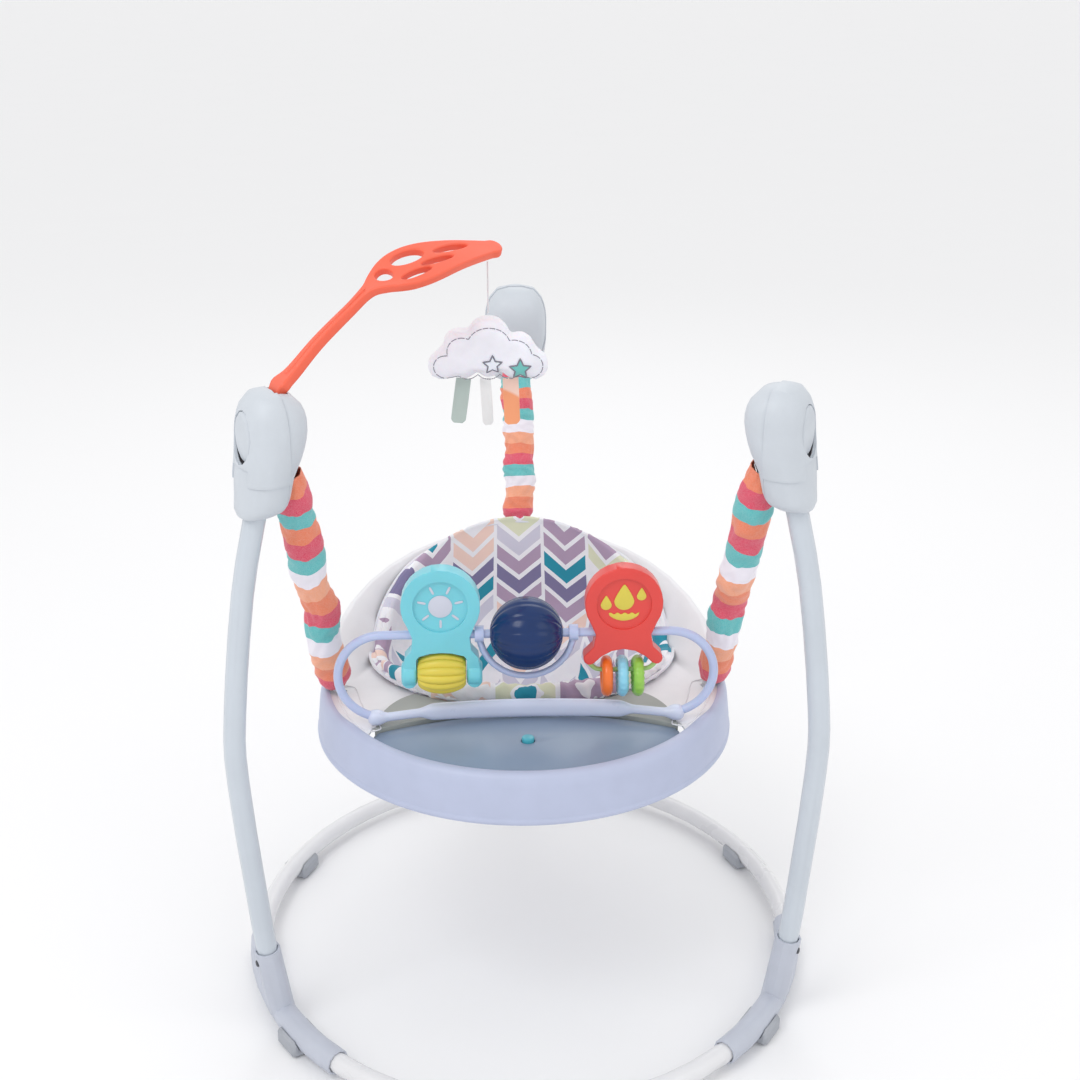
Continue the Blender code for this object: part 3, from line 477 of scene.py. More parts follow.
PRINT = {"white": (0.86, 0.86, 0.90), "teal": (0.012, 0.27, 0.38), "lavender": (0.62, 0.61, 0.72),
         "mauve": (0.43, 0.32, 0.45), "peach": (0.87, 0.64, 0.56), "plum": (0.20, 0.18, 0.33),
         "olive": (0.71, 0.73, 0.54)}
PRINT_ORDER = ("white", "teal", "lavender", "mauve", "white", "peach", "plum", "lavender", "olive", "mauve")
COLUMN_WIDTH = 0.082
CHEVRON_PITCH = 0.0285
CHEVRON_SLOPE = 0.70


def printed_cloth():
    """White seat cloth with columns of broad V bands in several colours."""
    material, shader = shader_of("printed_cloth", PRINT["white"], 0.82, sheen=0.2, subsurface=0.05)
    graph = Graph(material)
    uv = graph.uv("cloth")
    split = graph.node("ShaderNodeSeparateXYZ")
    graph.feed(split.inputs[0], uv)
    across, up = split.outputs[0], split.outputs[1]
    columns = graph.math("DIVIDE", across, COLUMN_WIDTH)
    column = graph.math("FLOOR", columns)
    inside = graph.math("ABSOLUTE", graph.math("SUBTRACT", graph.math("FRACT", columns), 0.5))
    lift = graph.math("MULTIPLY", inside, COLUMN_WIDTH * CHEVRON_SLOPE)
    offset = graph.math("MULTIPLY", graph.math("FRACT", graph.math("MULTIPLY", column, 0.37)), CHEVRON_PITCH)
    level = graph.math("DIVIDE", graph.math("ADD", graph.math("SUBTRACT", up, lift), offset), CHEVRON_PITCH)
    band = graph.math("FLOOR", level)
    pair = graph.node("ShaderNodeCombineXYZ")
    graph.feed(pair.inputs[0], column)
    graph.feed(pair.inputs[1], band)
    chance = graph.node("ShaderNodeTexWhiteNoise", noise_dimensions="2D")
    graph.feed(chance.inputs["Vector"], pair.outputs[0])
    stops = [(index / len(PRINT_ORDER), PRINT[key]) for index, key in enumerate(PRINT_ORDER)]
    ink = graph.ramp(chance.outputs["Value"], stops)
    in_band = graph.math("LESS_THAN", graph.math("FRACT", level), 0.72)
    in_column = graph.math("LESS_THAN", inside, 0.462)
    colour = graph.mix(graph.math("MULTIPLY", in_band, in_column), (*PRINT["white"], 1.0), ink)
    graph.feed(shader.inputs["Base Color"], colour)
    creases = graph.bump(graph.noise(graph.place(), 45.0, 3.0), 0.35, 0.002)
    graph.feed(shader.inputs["Normal"], weave(graph, uv, 240.0, 0.3, 0.0002, creases))
    return material


def plush(name, colour, pile=700.0):
    """Short soft pile."""
    material, shader = shader_of(name, colour, 0.9, sheen=0.5, subsurface=0.1)
    graph = Graph(material)
    place = graph.place()
    fibre = graph.noise(place, pile, 4.0, 0.7)
    patches = graph.noise(place, 40.0, 3.0)
    graph.feed(shader.inputs["Base Color"],
               graph.mix(graph.span(patches, 0.35, 0.65, 0.0, 1.0),
                         (*dim(colour, 0.93), 1.0), (*colour, 1.0)))
    graph.feed(shader.inputs["Normal"], graph.bump(fibre, 0.5, 0.0006))
    return material


def ribbon_cloth(name, upper, lower, split_z, slope=0.5):
    """Satin ribbon in two tones parted on a slant, with fine ribs across."""
    material, shader = shader_of(name, upper, 0.45, sheen=0.3)
    graph = Graph(material)
    place = graph.place()
    split = graph.node("ShaderNodeSeparateXYZ")
    graph.feed(split.inputs[0], place)
    slant = graph.math("ADD", split.outputs[2], graph.math("MULTIPLY", split.outputs[0], slope))
    amount = graph.span(slant, split_z - 0.002, split_z + 0.002, 0.0, 1.0)
    graph.feed(shader.inputs["Base Color"], graph.mix(amount, (*lower, 1.0), (*upper, 1.0)))
    graph.feed(shader.inputs["Normal"], graph.bump(graph.wave(place, 420.0, "Z"), 0.25, 0.0002))
    return material


HOUSING = moulded("housing_plastic", (0.585, 0.625, 0.675), 0.46, 1100.0)
POST = painted("post_paint", (0.575, 0.625, 0.685), 0.34)
HOOP = painted("hoop_paint", (0.78, 0.78, 0.80), 0.30)
CONNECTOR = moulded("connector_plastic", (0.52, 0.55, 0.63), 0.46, 900.0)
RUBBER = moulded("foot_rubber", (0.40, 0.42, 0.46), 0.75, 700.0, 0.0003)
DARK = moulded("dark_plastic", (0.05, 0.055, 0.065), 0.5)
STEEL = steel("steel")
CORAL = moulded("coral_plastic", (0.87, 0.135, 0.07), 0.40, 1200.0, subsurface=0.08)
DECK = moulded("tray_white", (0.83, 0.83, 0.86), 0.38, 900.0)
SKIRT = moulded("tray_lilac", (0.475, 0.52, 0.685), 0.44, 900.0)
SLATE = moulded("console_slate", (0.235, 0.305, 0.415), 0.33, 900.0, 0.00006, wash=0.97, specular=0.45)
WING = moulded("console_wing", (0.36, 0.38, 0.36), 0.5, 900.0)
LILAC = moulded("lilac_plastic", (0.475, 0.545, 0.78), 0.32, 900.0, 0.00008, coat=0.3, subsurface=0.08)
PALE_LILAC = moulded("pale_lilac_plastic", (0.64, 0.69, 0.86), 0.30, 900.0, 0.00008, coat=0.3,
                      subsurface=0.03)
TEAL = moulded("teal_plastic", (0.175, 0.61, 0.71), 0.34, 900.0, 0.0001, coat=0.2, subsurface=0.08)
TEAL_DEEP = moulded("teal_button", (0.06, 0.42, 0.52), 0.3, 900.0, 0.0001, coat=0.3)
YELLOW = moulded("yellow_plastic", (0.72, 0.59, 0.07), 0.40, 900.0, 0.0001, coat=0.15, subsurface=0.05)
NAVY = moulded("navy_plastic", (0.006, 0.030, 0.125), 0.20, 500.0, 0.00003, wash=0.85, specular=0.35)
RED = moulded("red_plastic", (0.75, 0.055, 0.045), 0.34, 900.0, 0.0001, coat=0.2, subsurface=0.05)
GREEN = moulded("green_plastic", (0.30, 0.60, 0.08), 0.34, 900.0, 0.0001, coat=0.2)
WIRE_GREEN = moulded("wire_green", (0.42, 0.66, 0.24), 0.38, 900.0, 0.0001)
ORANGE = moulded("orange_plastic", (0.87, 0.17, 0.02), 0.34, 900.0, 0.0001, coat=0.2)
SKY = moulded("sky_plastic", (0.26, 0.64, 0.82), 0.30, 900.0, 0.0001, coat=0.3)
SUN_PINK = moulded("sun_disc", (0.60, 0.62, 0.72), 0.4)
STRIPED = striped_cloth()
PRINTED = printed_cloth()
PLUSH = plush("white_plush", (0.84, 0.84, 0.91))
STITCH = plush("grey_thread", (0.20, 0.20, 0.25), 1200.0)
STAR_TEAL = plush("teal_plush", (0.17, 0.53, 0.50))
BINDING = plush("white_binding", (0.80, 0.80, 0.86), 900.0)
WEBBING = plush("webbing", (0.72, 0.72, 0.75), 1000.0)


# ---------------------------------------------------------------- camera, light and floor
def make_stage():
    camera = add_object("camera", bpy.data.cameras.new("camera"))
    camera.location = Vector((-0.051, -1.850, 1.313)) + CENTRE
    camera.rotation_euler = (math.radians(68.57), 0.0, math.radians(-2.232))
    camera.data.lens = 52.5
    camera.data.sensor_width = 36.0
    bpy.context.scene.camera = camera
    deselect()
    bpy.ops.mesh.primitive_plane_add(size=80.0, location=(0, 0, -0.0005))
    floor = named("floor")
    material, shader = shader_of("pale_floor", (0.90, 0.90, 0.91), 0.6)
    graph = Graph(material)
    graph.feed(shader.inputs["Roughness"], graph.span(graph.noise(graph.place(), 3.0), 0.3, 0.7, 0.55, 0.7))
    floor.data.materials.append(material)
    settle(floor)
    world = bpy.data.worlds.new("studio")
    world.use_nodes = True
    background = world.node_tree.nodes["Background"]
    background.inputs["Color"].default_value = (1.0, 1.0, 1.0, 1.0)
    background.inputs["Strength"].default_value = 0.95
    bpy.context.scene.world = world
    bpy.context.scene.view_settings.view_transform = "Standard"
    lights = (("key", (-1.4, -1.6, 2.9), 1.3, 21.0), ("fill", (2.2, -1.4, 1.9), 1.6, 5.0),
              ("back", (0.4, 2.4, 2.4), 1.6, 8.0))
    for name, place, size, power in lights:
        lamp = add_object(f"{name}_light", bpy.data.lights.new(name, "AREA"))
        lamp.location = place
        lamp.data.size = size
        lamp.data.energy = power
        lamp.rotation_euler = (Vector((0, 0, 0.45)) - Vector(place)).to_track_quat("-Z", "Y").to_euler()


make_stage()


# ---------------------------------------------------------------- cord
def make_string():
    """The thread that the cloud hangs on, from the arm's tip down into the cloud."""
    low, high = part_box("cloud_string")
    middle = (low + high) / 2
    count = 15
    points = [Vector((middle.x, middle.y, high.z + (low.z - high.z) * index / count))
              for index in range(count + 1)]
    string = tube("cloud_thread", points, STRING_R, solid=False)
    put(string, WEBBING, "string")
    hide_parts("cloud_string")


make_string()


# ---------------------------------------------------------------- frame tubes, housings and tray
def make_frame_parts():
    for node in ("hoop_front", "hoop_rear_left", "hoop_rear_right"):
        fine_node(node, HOOP, degrees=50.0)
    for node in ("foot_rear_left", "foot_rear_right", "foot_front_left", "foot_front_right"):
        fine_node(node, RUBBER, 0.0012)
    for side in LEG_ANGLES:
        fine_node(f"post_{side}", POST, degrees=50.0)
        fine_node(f"connector_{side}", CONNECTOR, 0.0012, 42.0)
        fine_node(f"snap_button_{side}", DARK, 0.0008)
        fine_node(f"housing_inner_{side}", HOUSING, 0.0010, 40.0)
        fine_node(f"housing_outer_{side}", HOUSING, 0.0010, 40.0)
        fine_node(f"housing_cap_{side}", HOUSING, 0.0012)
        fine_node(f"spring_pin_{side}", STEEL)
        fine_node(f"strap_{side}", WEBBING)


APRON_LOW_Z = 0.7340       # lower end of the raised panel beside the step
APRON_STEP_Z = 0.7520      # lower end of the panel in the middle, over the step
APRON_STEP_HALF_WIDTH = 0.0200
HOUSING_HEART = (0.036, 0.765)      # inward from the leg's foot, and up


def make_apron(side):
    """The outer shell's raised upper panel, which ends below the cap in a stepped ledge."""
    foot = leg_foot(side)
    outward = foot.normalized()
    along = Vector((-outward.y, outward.x, 0.0))
    inward, height = HOUSING_HEART
    heart = foot - outward * inward + Vector((0, 0, height)) + CENTRE
    apron = add_object(f"housing_apron_{side}", frame["nodes"][f"housing_outer_{side}"].data.copy())
    weld(apron, outward=False)
    select_parts(apron, lambda face: face.normal.dot((face.center - heart).normalized()) < 0.35)
    bpy.ops.mesh.delete(type="FACE")
    done()
    cut_plane(apron, (0, 0, APRON_LOW_Z), (0, 0, 1), clear_inner=True)
    cut_plane(apron, (0, 0, APRON_STEP_Z), (0, 0, 1))
    for across in (-APRON_STEP_HALF_WIDTH, APRON_STEP_HALF_WIDTH):
        cut_plane(apron, heart + along * across, along)
    select_parts(apron, lambda face: face.center.z < APRON_STEP_Z
                 and abs((face.center - heart).dot(along)) < APRON_STEP_HALF_WIDTH
                 and (face.center - heart).dot(outward) > 0.0)
    bpy.ops.mesh.delete(type="FACE")
    done()
    modify(apron, "SOLIDIFY", thickness=0.0016, offset=1.0)
    round_edges(apron, 0.0006, 2, 50.0)
    smooth(apron, 45.0)
    put(apron, HOUSING, "frame")


def make_tray():
    fine_node("tray_deck", DECK, degrees=48.0)
    fine_node("console_cover", SLATE, 0.0008, 35.0)
    fine_node("console_button", TEAL_DEEP, 0.0014)
    fine_node("seat_hoop", STEEL, degrees=50.0)
    fine_node("ball_yoke", LILAC, 0.0008, 50.0)
    fine_node("bead_wire", WIRE_GREEN, degrees=50.0)
    fine_node("sun_paddle", TEAL, 0.0024, 40.0, 4)
    fine_node("rain_paddle", RED, 0.0024, 40.0, 4)


def make_front_bar():
    """A broad curved grip that narrows to a rod at each end, with a flared collar for the rail."""
    grip, bow_end, rod_start, flare, tip_start, end = 0.114, 0.128, 0.134, 0.170, 0.1885, 0.1945
    bar = rowed_cylinder("front_bar_grip", 40, 160, depth=2.0, ends="TRIFAN")
    for vertex in bar.data.vertices:
        x = vertex.co.z * end
        reach = abs(x)
        to_rod = ease((reach - grip) / (rod_start - grip))
        to_flare = ease((reach - flare) / 0.013)
        tip = 1.0 - 0.45 * max(0.0, (reach - tip_start) / (end - tip_start)) ** 2
        grip_half_height = 0.0118 - 0.0008 * (reach / grip) ** 2
        half_height = grip_half_height * (1 - to_rod) + 0.0054 * to_rod + 0.0041 * to_flare
        half_depth = 0.0066 * (1 - to_rod) + 0.0052 * to_rod + 0.0043 * to_flare
        bow = min(1.0, reach / bow_end)
        out = max(0.0, reach - bow_end) / (RAIL_HALF_SPAN - bow_end)
        middle_y = -0.108 - 0.006 * bow ** 2 - 0.006 * min(1.0, out)
        middle_z = 0.4058 - 0.001 * bow ** 2 - 0.0028 * min(1.0, out)
        flat_y = squared_off(vertex.co.x, 0.85)
        flat_z = squared_off(vertex.co.y, 0.85)
        vertex.co = Vector((x, middle_y + flat_y * half_depth * tip,
                            middle_z + flat_z * half_height * tip)) + CENTRE
    weld(bar)
    smooth(bar, 60.0)
    put(bar, PALE_LILAC, "seat")
    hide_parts("front_bar")


DECK_R = 0.250
SEAT_OPENING = Vector((0.195, 0.150))      # half width and half depth of the opening in the deck
SEAT_OPENING_Y = 0.085
LIP_Z, LIP_BACK_RISE = 0.386, 0.085        # the deck at the opening, and its rise at the back
CREST_Z, CREST_BACK_RISE = 0.396, 0.111    # the tray's rim, and its rise at the back
DECK_BEND = 0.70                           # share of the way out where the deck turns up


def deck_height(x, y):
    """Height of the deck's upper face, from the lip of the seat opening out to the rim."""
    angle = math.atan2(y, x)
    rim = Vector((DECK_R * math.cos(angle), DECK_R * math.sin(angle)))
    low, high = 0.0, 1.0
    for _ in range(24):
        middle = (low + high) / 2
        spot = rim * middle
        inside = (spot.x / SEAT_OPENING.x) ** 2 + ((spot.y - SEAT_OPENING_Y) / SEAT_OPENING.y) ** 2 < 1.0
        low, high = (middle, high) if inside else (low, middle)
    lip_share = low
    share = min(1.0, max(0.0, (math.hypot(x, y) / DECK_R - lip_share) / (1.0 - lip_share)))
    rise = back_rise(angle)
    lip, crest = LIP_Z + LIP_BACK_RISE * rise, CREST_Z - 0.002 + CREST_BACK_RISE * rise
    bend = lip + DECK_BEND * (crest - lip) - 0.003
    if share < DECK_BEND:
        return lip + (bend - lip) * share / DECK_BEND
    return bend + (crest - bend) * (share - DECK_BEND) / (1.0 - DECK_BEND)


def make_deck_lines():
    """A raised moulded outline on each side of the deck, between the seat and the strap slot."""
    for side, sign in (("left", -1.0), ("right", 1.0)):
        points = []
        for k in range(72):
            angle = math.tau * k / 72
            turn = math.radians(-19.0 + 17.0 * squared_off(math.cos(angle), 0.5))
            reach = 0.2285 + 0.0135 * squared_off(math.sin(angle), 0.5)
            x, y = reach * math.cos(turn), reach * math.sin(turn)
            points.append(Vector((sign * x, y, deck_height(x, y) - 0.0001)) + CENTRE)
        line = tube(f"deck_line_{side}", points, 0.0010, closed=True, sides=2)
        put(line, DECK, "seat")


def make_wings():
    """Two grey trim plates on the deck, from the console's back edge to the seat."""
    inner, blunt_from, outer, depth = 0.002, 0.118, 0.187, 0.078
    base_z, thickness = 0.3790, 0.0116
    count = 40
    for side, sign in (("left", -1.0), ("right", 1.0)):
        deselect()
        bpy.ops.mesh.primitive_circle_add(vertices=2 * count, radius=1.0, fill_type="NGON")
        wing = named(f"console_wing_{side}")
        for index, vertex in enumerate(wing.data.vertices):
            part = index / count if index <= count else 2.0 - index / count
            x = inner + (outer - inner) * part
            near = -0.0865 - 0.045 * (x / 0.192) ** 2
            pad_edge = 0.083 - 0.160 * math.sqrt(1.0 - (x / 0.205) ** 2)
            round_end = math.sqrt(max(0.0, 1.0 - max(0.0, (x - blunt_from) / (outer - blunt_from)) ** 3))
            far = max(near, min(near + depth * round_end, pad_edge))
            vertex.co = Vector((sign * x, far if index <= count else near, base_z)) + CENTRE
        select_parts(wing, lambda face: True)
        bpy.ops.mesh.extrude_region_move(TRANSFORM_OT_translate={"value": (0, 0, thickness)})
        face_outwards(wing)
        round_edges(wing, 0.0010, 3, 50.0)
        smooth(wing, 40.0)
        put(wing, WING, "seat")


RIM_R = 0.2510      # inner edge of the rim at the sides; it reaches further in at the front


def wall_profile(angle):
    """Radius and height up the tray's outer wall, and on over the rim where the tray isn't raised."""
    crest = CREST_Z + CREST_BACK_RISE * back_rise(angle)
    over = 1.0 - ease((math.sin(angle) - 0.02) / 0.20)
    inner = RIM_R - 0.0065 * ease((-math.sin(angle) - 0.34) / 0.20)
    wall = [(0.2600, 0.3352), (0.2680, 0.3350), (0.2694, 0.3366), (0.2696, 0.3395), (0.2688, 0.3422),
            (0.2680, 0.3430), (0.2681, 0.3448), (0.2676, 0.3550), (0.2646, crest - 0.0148)]
    rim = [(0.2641, crest - 0.0118), (0.2631, crest - 0.0085), (0.2611, crest - 0.0036),
           (0.2583, crest - 0.0005), (0.2545, crest + 0.0010),
           (0.2515 - 0.5 * (RIM_R - inner), crest + 0.0004),
           (inner + 0.0004, crest - 0.0012), (inner, crest - 0.0030), (inner + 0.0002, crest - 0.0065)]
    top_r, top_z = wall[-1]
    return wall + [(top_r + (r - top_r) * over, top_z + (z - top_z) * over) for r, z in rim]


def make_skirt_wall():
    """The lilac wall in one sweep: a rolled foot, a plain band, and the rounded rim over the deck's edge."""
    rows = len(wall_profile(0.0)) - 1
    wall = rowed_cylinder("tray_skirt_wall", 240, rows)
    for vertex in wall.data.vertices:
        angle = math.atan2(vertex.co.y, vertex.co.x)
        radius, height = wall_profile(angle)[round((vertex.co.z + 0.5) * rows)]
        vertex.co = Vector((radius * math.cos(angle), radius * math.sin(angle), height)) + CENTRE
    face_outwards(wall)
    modify(wall, "SOLIDIFY", thickness=0.0012, offset=-1.0)
    smooth(wall, 50.0)
    put(wall, SKIRT, "seat")
    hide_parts("tray_skirt")


def make_rail():
    """The lilac tube: from the left collar out and up in a loop, across, and down to the right collar."""
    loop_r = (RAIL_Z - COLLAR_Z) / 2
    middle_z = (RAIL_Z + COLLAR_Z) / 2
    first = 0.245
    count = 40
    right = []
    for index in range(count + 1):
        angle = -math.pi / 2 + first + (math.pi - first) * index / count
        right.append(Vector((RAIL_HALF_SPAN + loop_r * math.cos(angle), TOY_Y,
                             middle_z + loop_r * math.sin(angle))))
    left = [Vector((-point.x, point.y, point.z)) for point in right]
    rail = tube("toy_rail_tube", left + right[::-1], RAIL_R, sides=5)
    put(rail, LILAC, "seat")
    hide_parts("toy_rail")


make_frame_parts()
for leg in LEG_ANGLES:
    make_apron(leg)
make_tray()
make_front_bar()
make_wings()
make_deck_lines()
make_skirt_wall()
make_rail()


# ---------------------------------------------------------------- springs and sleeves
def strap_line(side):
    """A strap's upper and lower end."""
    foot = leg_foot(side)
    top = foot.normalized() * (foot.length + STRAP_TOP_SHIFT) + Vector((0, 0, STRAP_TOP_Z))
    return top + CENTRE, Vector(STRAP_FEET[side]) + CENTRE


def make_spring(side):
    spring = node_copy(f"spring_{side}", f"spring_{side}_wire")
    smooth(spring, 60.0)
    spring.data.materials.clear()
    spring.data.materials.append(STEEL)
    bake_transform(spring)


def make_sleeve(side, seed):
    """A gathered cloth tube: tight rings of folds that run into each other, and slow bulges."""
    top, foot = strap_line(side)
    start, end = top.lerp(foot, 0.028), top.lerp(foot, 0.945 if side == "rear" else 0.978)
    line = (end - start).normalized()
    level = line.cross(Vector((0, 0, 1))).normalized()
    other = level.cross(line)
    sleeve = rowed_cylinder(f"sleeve_{side}_cloth", 60, 220)
    layer = sleeve.data.uv_layers[0]
    layer.name = "sleeve"
    for corner, loop in zip(sleeve.data.loops, layer.data):
        loop.uv = (loop.uv[0], 0.5 - sleeve.data.vertices[corner.vertex_index].co.z)
    folds = 12.0
    for vertex in sleeve.data.vertices:
        angle = math.atan2(vertex.co.y, vertex.co.x)
        t = 0.5 - vertex.co.z
        round_x, round_y = math.cos(angle), math.sin(angle)
        drift = wander(round_x * 0.8 + seed, round_y * 0.8, t * 7.0)
        finer = abs(wander(round_x * 1.6 + seed, round_y * 1.6 + 7.0, t * 34.0 + 2.5 * drift))
        phase = math.pi * (folds * t + 2.0 * drift + 0.45 * round_x)
        puff = abs(math.sin(phase)) ** 0.9
        depth = 0.17 + 0.11 * wander(round_x + 3.0, round_y + seed, t * 9.0)
        bulge = 0.10 * wander(seed + 0.5, t * 9.0, 0.3) + 0.10 * wander(round_x, round_y + seed, t * 7.0)
        neck = 0.74 + 0.26 * ease(t / 0.10) - 0.22 * ease((t - 0.955) / 0.045)
        radius = SLEEVE_R * neck * (0.93 + bulge + depth * (puff - 0.62) - 0.02 * finer)
        room = (0.0040 + 0.0070 * ease((t - 0.45) / 0.15)) * math.sin(math.pi * t)
        sway = Vector((wander(seed, t * 5.5, 1.0), wander(seed, t * 5.5, 5.0))) * room
        middle = start.lerp(end, t)
        slide = 0.0040 * drift * math.sin(math.pi * t)
        vertex.co = (middle + line * slide + level * (round_x * radius + sway.x)
                     + other * (round_y * radius + sway.y))
    face_outwards(sleeve)
    modify(sleeve, "SMOOTH", factor=0.5, iterations=6)
    modify(sleeve, "SOLIDIFY", thickness=0.0009, offset=-1.0)
    smooth(sleeve, 70.0)
    sleeve.data.materials.clear()
    sleeve.data.materials.append(STRIPED)
    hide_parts(f"sleeve_{side}")
    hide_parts(f"spring_{side}")
    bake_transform(sleeve)


for order, leg in enumerate(LEG_ANGLES):
    make_spring(leg)
    make_sleeve(leg, 2.0 + 5.3 * order)


# ---------------------------------------------------------------- seat cloth
SEAT_LEVELS = ((0.003, 0.003, 0.060, 0.2445, 0.0), (0.045, 0.045, 0.060, 0.2450, 0.0),
               (0.105, 0.085, 0.066, 0.262, 0.0), (0.145, 0.112, 0.075, 0.305, 0.0),
               (0.158, 0.120, 0.082, 0.345, 0.0), (0.183, 0.139, 0.085, 0.378, 0.15),
               (0.189, 0.144, 0.086, 0.392, 1.0), (0.196, 0.151, 0.086, 0.3955, 1.04),
               (0.205, 0.160, 0.086, 0.3925, 1.04))
SEAT_SIDES = 200
SEAT_ARC_R = 0.21         # turns an angle round the seat into a length of cloth
SEAT_ROWS = 96
LEG_HOLES = (-0.068, 0.068)


PRINT_START = COLUMN_WIDTH * 20.5      # keeps the columns' numbers positive, with one in the middle


def seat_point(angle, t):
    """The seat cloth's surface: t is 0 under the seat and 1 at the rolled edge."""
    place = t * (len(SEAT_LEVELS) - 1)
    index = min(int(place), len(SEAT_LEVELS) - 2)
    part = place - index
    rows = [SEAT_LEVELS[min(max(index + step, 0), len(SEAT_LEVELS) - 1)] for step in (-1, 0, 1, 2)]
    half_x, half_y, middle_y, z, rise = [spline_between(*four, part) for four in zip(*rows)]
    behind = ease((math.sin(angle) - 0.55) / 0.35)
    half_x -= max(0.0, half_x - 0.189) * behind
    half_y -= max(0.0, half_y - 0.144) * behind
    lift = rise * back_rise(angle)
    return Vector((half_x * math.cos(angle) * (1 - 0.10 * lift),
                   middle_y + half_y * math.sin(angle) + 0.004 * lift, z + 0.125 * lift)) + CENTRE


def make_seat():
    """Quilted cloth: panels sewn side by side, gathers at the front edge and a bound rolled edge."""
    seat = rowed_cylinder("seat_cloth", SEAT_SIDES, SEAT_ROWS)
    layer = seat.data.uv_layers[0]
    layer.name = "cloth"
    places = {}
    for vertex in seat.data.vertices:
        angle = math.atan2(vertex.co.y, vertex.co.x)
        places[vertex.index] = (angle, vertex.co.z + 0.5)
    middle = Vector((0, 0.075, 0)) + CENTRE
    for vertex in seat.data.vertices:
        angle, t = places[vertex.index]
        point = seat_point(angle, t)
        step = 0.01
        around = seat_point(angle + step, t) - seat_point(angle - step, t)
        upward = seat_point(angle, min(1.0, t + step)) - seat_point(angle, max(0.0, t - step))
        inward = upward.cross(around)
        inward = inward.normalized() if inward.length > 1e-9 else Vector((0, 0, 1))
        if inward.dot(middle + Vector((0, 0, 0.42)) - point) < 0:
            inward = -inward
        arc = SEAT_ARC_R * (math.pi / 2 - angle)
        panel = abs((arc / COLUMN_WIDTH + 0.5) % 1.0 - 0.5) * 2.0
        quilting = ease(t / 0.45)
        seam = -0.0022 * math.exp(-((1.0 - panel) / 0.05) ** 2) * quilting if abs(arc) < 0.17 else 0.0
        front = ease((-math.sin(angle) + 0.15) / 0.5)
        gather = math.sin(34.0 * angle + 3.0 * wander(math.cos(angle), math.sin(angle), t * 3.0))
        gathered = 0.0030 * gather * front * ease((t - 0.45) / 0.3) * (1.0 - 0.5 * ease((t - 0.9) / 0.1))
        side = ease((abs(math.cos(angle)) - 0.45) / 0.3) * ease((t - 0.4) / 0.3)
        drape = 0.0028 * side * wander(angle * 5.0, t * 3.0, 2.0)
        crumple = 0.0022 * wander(point.x * 26.0, point.y * 26.0, point.z * 22.0)
        crumple += 0.0009 * wander(point.x * 70.0, point.y * 70.0, point.z * 60.0)
        vertex.co = point + inward * (0.001 + seam + gathered + drape + crumple)
    for polygon in seat.data.polygons:
        angles = [places[index][0] for index in polygon.vertices]
        wraps = max(angles) - min(angles) > math.pi
        for loop_index in polygon.loop_indices:
            angle, _ = places[seat.data.loops[loop_index].vertex_index]
            if wraps and angle < 0:
                angle += 2 * math.pi
            height = seat.data.vertices[seat.data.loops[loop_index].vertex_index].co.z
            layer.data[loop_index].uv = (SEAT_ARC_R * (math.pi / 2 - angle) + PRINT_START, height)
    select_parts(seat, lambda vertex: places[vertex.index][1] < 0.002, "VERT")
    bpy.ops.mesh.edge_face_add()
    done()
    face_outwards(seat)
    modify(seat, "SOLIDIFY", thickness=0.0042, offset=0.0, use_rim=True)
    for x in LEG_HOLES:
        cut_hole(seat, Vector((x, -0.045, 0.296)) + CENTRE, Vector((x * 2.0, -1.0, -0.10)), 0.044)
    smooth(seat, 60.0)
    put(seat, PRINTED, "seat")
    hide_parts("seat_sling")
    edge = [seat_point(2 * math.pi * index / 120, 0.995) + Vector((0, 0, 0.0008)) for index in range(120)]
    binding = tube("seat_binding", edge, 0.0024, closed=True)
    put(binding, BINDING, "seat")


def make_front_roll():
    """The seat cloth's padded front edge: a thick gathered roll that thins out at both ends."""
    roll = rowed_cylinder("seat_front_roll", 28, 240, ends="TRIFAN")
    layer = roll.data.uv_layers[0]
    layer.name = "cloth"
    spread = math.radians(74.0)
    for vertex in roll.data.vertices:
        share = vertex.co.z * 2.0
        angle = -math.pi / 2 + spread * share
        turn = math.atan2(vertex.co.y, vertex.co.x)
        size = math.hypot(vertex.co.x, vertex.co.y)
        middle = seat_point(angle, 0.90) + Vector((0, 0, 0.0035))
        outward = Vector((math.cos(angle), math.sin(angle), 0.0))
        taper = max(0.02, 1.0 - abs(share) ** 2.4) ** 0.5
        gather = 0.10 * math.sin(62.0 * angle + 2.2 * math.sin(turn) + 3.0 * wander(angle * 4.0, turn, 0.0))
        lump = 0.20 * wander(angle * 9.0, math.cos(turn), math.sin(turn))
        radius = 0.0155 * taper * (1.0 + gather + lump) * size
        vertex.co = middle + (outward * math.cos(turn) * 0.95 + Vector((0, 0, math.sin(turn)))) * radius
        vertex.co -= outward * 0.004
    for polygon in roll.data.polygons:
        for index in polygon.loop_indices:
            spot = roll.data.vertices[roll.data.loops[index].vertex_index].co
            layer.data[index].uv = (spot.x + PRINT_START, spot.z - 1.4 * spot.y)
    weld(roll)
    smooth(roll, 70.0)
    put(roll, PRINTED, "seat")


def cut_hole(piece, centre, axis, radius):
    deselect()
    bpy.ops.mesh.primitive_cylinder_add(vertices=40, radius=radius, depth=0.16, location=centre,
                                        rotation=axis.to_track_quat("Z", "Y").to_euler())
    cutter = named("hole_cutter")
    modify(piece, "BOOLEAN", operation="DIFFERENCE", object=cutter)
    bpy.data.objects.remove(cutter)


make_seat()
make_front_roll()


# ---------------------------------------------------------------- toys on the rail
def turn_to_x(piece):
    """Turn a piece that was made about Z so that its axis lies along X."""
    piece.rotation_euler = (0.0, math.pi / 2, 0.0)
    settle(piece)


